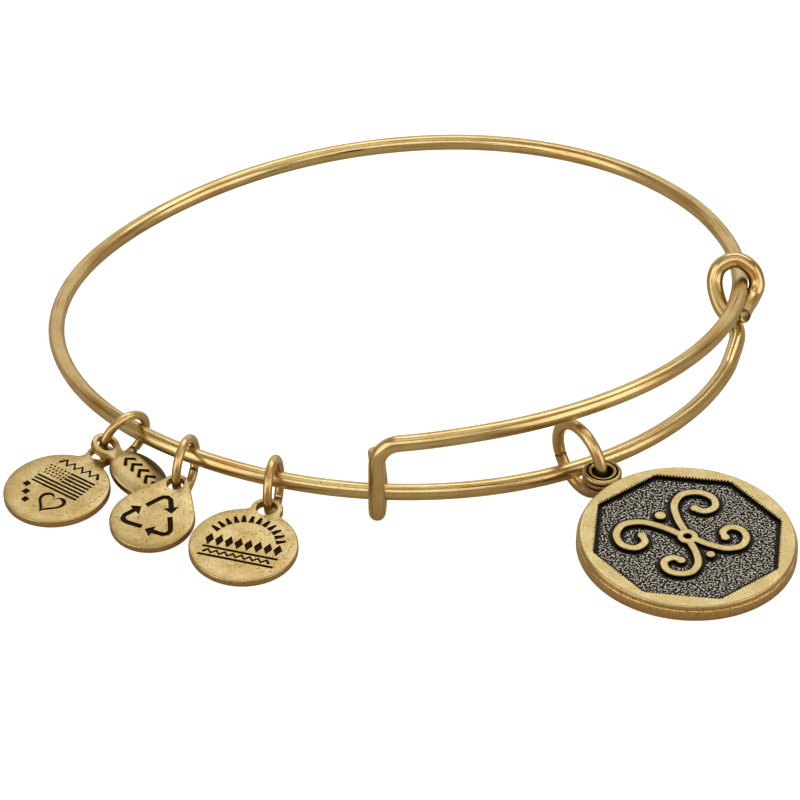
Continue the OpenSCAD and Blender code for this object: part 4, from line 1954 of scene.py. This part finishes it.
def charms(seats: dict[str, RingSeat]) -> list[Charm]:
    """The four small charms on their rings.

    Args:
        seats: How each jump ring stands.

    Returns:
        Heart disc, oval tag, drop and border disc.
    """
    left, middle, right = (seats[f"{side}_jump_ring"] for side in ("left", "middle", "right"))
    heart_r, tag_r, drop_r, border_r = 4.65, 2.85, 3.7, 4.7
    heart_reach, tag_reach = heart_r + 1.15, tag_r + 1.3
    drop_reach, border_reach = 4.5, border_r + 0.35
    heart = Hanging(Lie(8.6, -116, 50.7), left, heart_r - EDGE, heart_reach, CHARM_T, 1.8)
    # the tag's lug rests 0.45 mm over the heart disc's on the same ring, and that tilts the tag
    lug_t = 0.7
    height = heart.height() + (CHARM_T + lug_t) / 2 + 0.45
    tilt = math.degrees(math.asin((height - lug_t / 2) / (tag_r + tag_reach)))
    tag = Hanging(
        Lie(tilt, -39, 141), left, tag_r - EDGE, tag_reach, lug_t, 1.6, hole_height=height
    )
    drop = Hanging(Lie(13.2, -106, 64.3), middle, drop_r, drop_reach, CHARM_T, 1.5)
    border = Hanging(Lie(9.7, -92, 67.6), right, border_r - EDGE, border_reach, CHARM_T, 1.8)
    heart_line = partial(lug_outline, disc_r=heart_r, reach=heart_reach, lug_r=1.25, fillet=0.7)
    drop_line = partial(drop_outline, round_r=drop_r, reach=drop_reach, point_r=1.2)
    border_line = partial(lug_outline, disc_r=border_r, reach=border_reach, lug_r=1.4, fillet=0.6)
    return [
        HeartDisc("heart_disc", heart, heart_r, heart_line),
        # painted shade darkens the tag's far slope, from 1 mm off its long axis
        OvalTag("oval_tag", tag, tag_r, far_painted_shade=-1.0),
        ArrowDrop("arrow_drop", drop, drop_r, drop_line),
        BorderDisc("border_disc", border, border_r, border_line)
    ]


@dataclass(frozen=True)
class Studio:
    """White board, soft lights and the camera."""

    sight: float = 0.57
    elevation: float = 30.0
    aim_height: float = 0.00225
    aim_drop: float = 0.771
    lens: float = 284.2

    def camera(self) -> None:
        """Sets the camera at the photograph's angle, aimed a little below the bangle's middle."""
        data = bpy.data.cameras.new("camera")
        data.lens = self.lens
        data.sensor_width = 36
        data.clip_start = 0.05
        data.clip_end = 10
        camera = in_scene("camera", data)
        tilt = math.radians(self.elevation)
        camera.location = (
            0, -self.sight * math.cos(tilt), self.aim_height + self.sight * math.sin(tilt)
        )
        camera.rotation_euler = (math.radians(90 - self.elevation - self.aim_drop), 0, 0)
        bpy.context.scene.camera = camera

    def light(self, name: str, place: Sequence[float], size: Point, glow: float) -> None:
        """Hangs a soft light that faces the bangle.

        Args:
            name: Name of the light.
            place: Where it hangs, in metres.
            size: Width and height in metres.
            glow: How bright its cloth looks, where 1 shows as white.
        """
        data = bpy.data.lights.new(name, "AREA")
        data.shape = "RECTANGLE"
        data.size, data.size_y = size
        data.energy = glow * math.pi * size[0] * size[1]
        lamp = in_scene(name, data)
        lamp.location = place
        lamp.rotation_euler = (-Vector(place)).to_track_quat("-Z", "Y").to_euler()

    def build(self) -> None:
        """Sets up the board, the lights, the surroundings and the camera."""
        half = 0.6
        corners = ((-half, -half), (half, -half), (half, half), (-half, half))
        board = [Vector((x / MM, y / MM, 0)) for x, y in corners]
        floor = mesh_object("white_board", (board, [(0, 1, 2, 3)]), [floor_material()])
        world = bpy.data.worlds.new("studio")
        world.use_nodes = True
        surroundings = world.node_tree.nodes["Background"].inputs
        surroundings["Color"].default_value = linear("#93806A")
        surroundings["Strength"].default_value = 1.3
        bpy.context.scene.world = world
        self.light("back_wall", (0, 0.9, 0.3), (2.2, 0.6), 0.45)
        self.light("overhead_softbox", (0.12, 0.4, 0.68), (0.85, 0.34), 1.85)
        self.light("ceiling", (0.0, -0.12, 0.88), (0.7, 0.56), 0.6)
        self.light("front_softbox", (0.0, -0.6, 0.52), (0.7, 0.36), 1.25)
        self.light("left_softbox", (-0.75, -0.42, 0.36), (0.8, 0.8), 1.45)
        self.light("right_softbox", (0.8, -0.38, 0.34), (0.75, 0.75), 1.35)
        bpy.context.scene.view_settings.view_transform = "Standard"
        self.camera()


def main() -> None:
    """Builds the studio, the bangle and its charms."""
    logging.basicConfig(level=logging.INFO, format="%(name)s: %(message)s")
    Studio().build()
    shop = Workshop()
    bangle = Bangle()
    bangle.build(shop)
    seats = bangle.seats()
    Medallion(seats["main_jump_ring"]).build(shop)
    for charm in charms(seats):
        charm.build(shop)


if __name__ == "__main__":
    main()
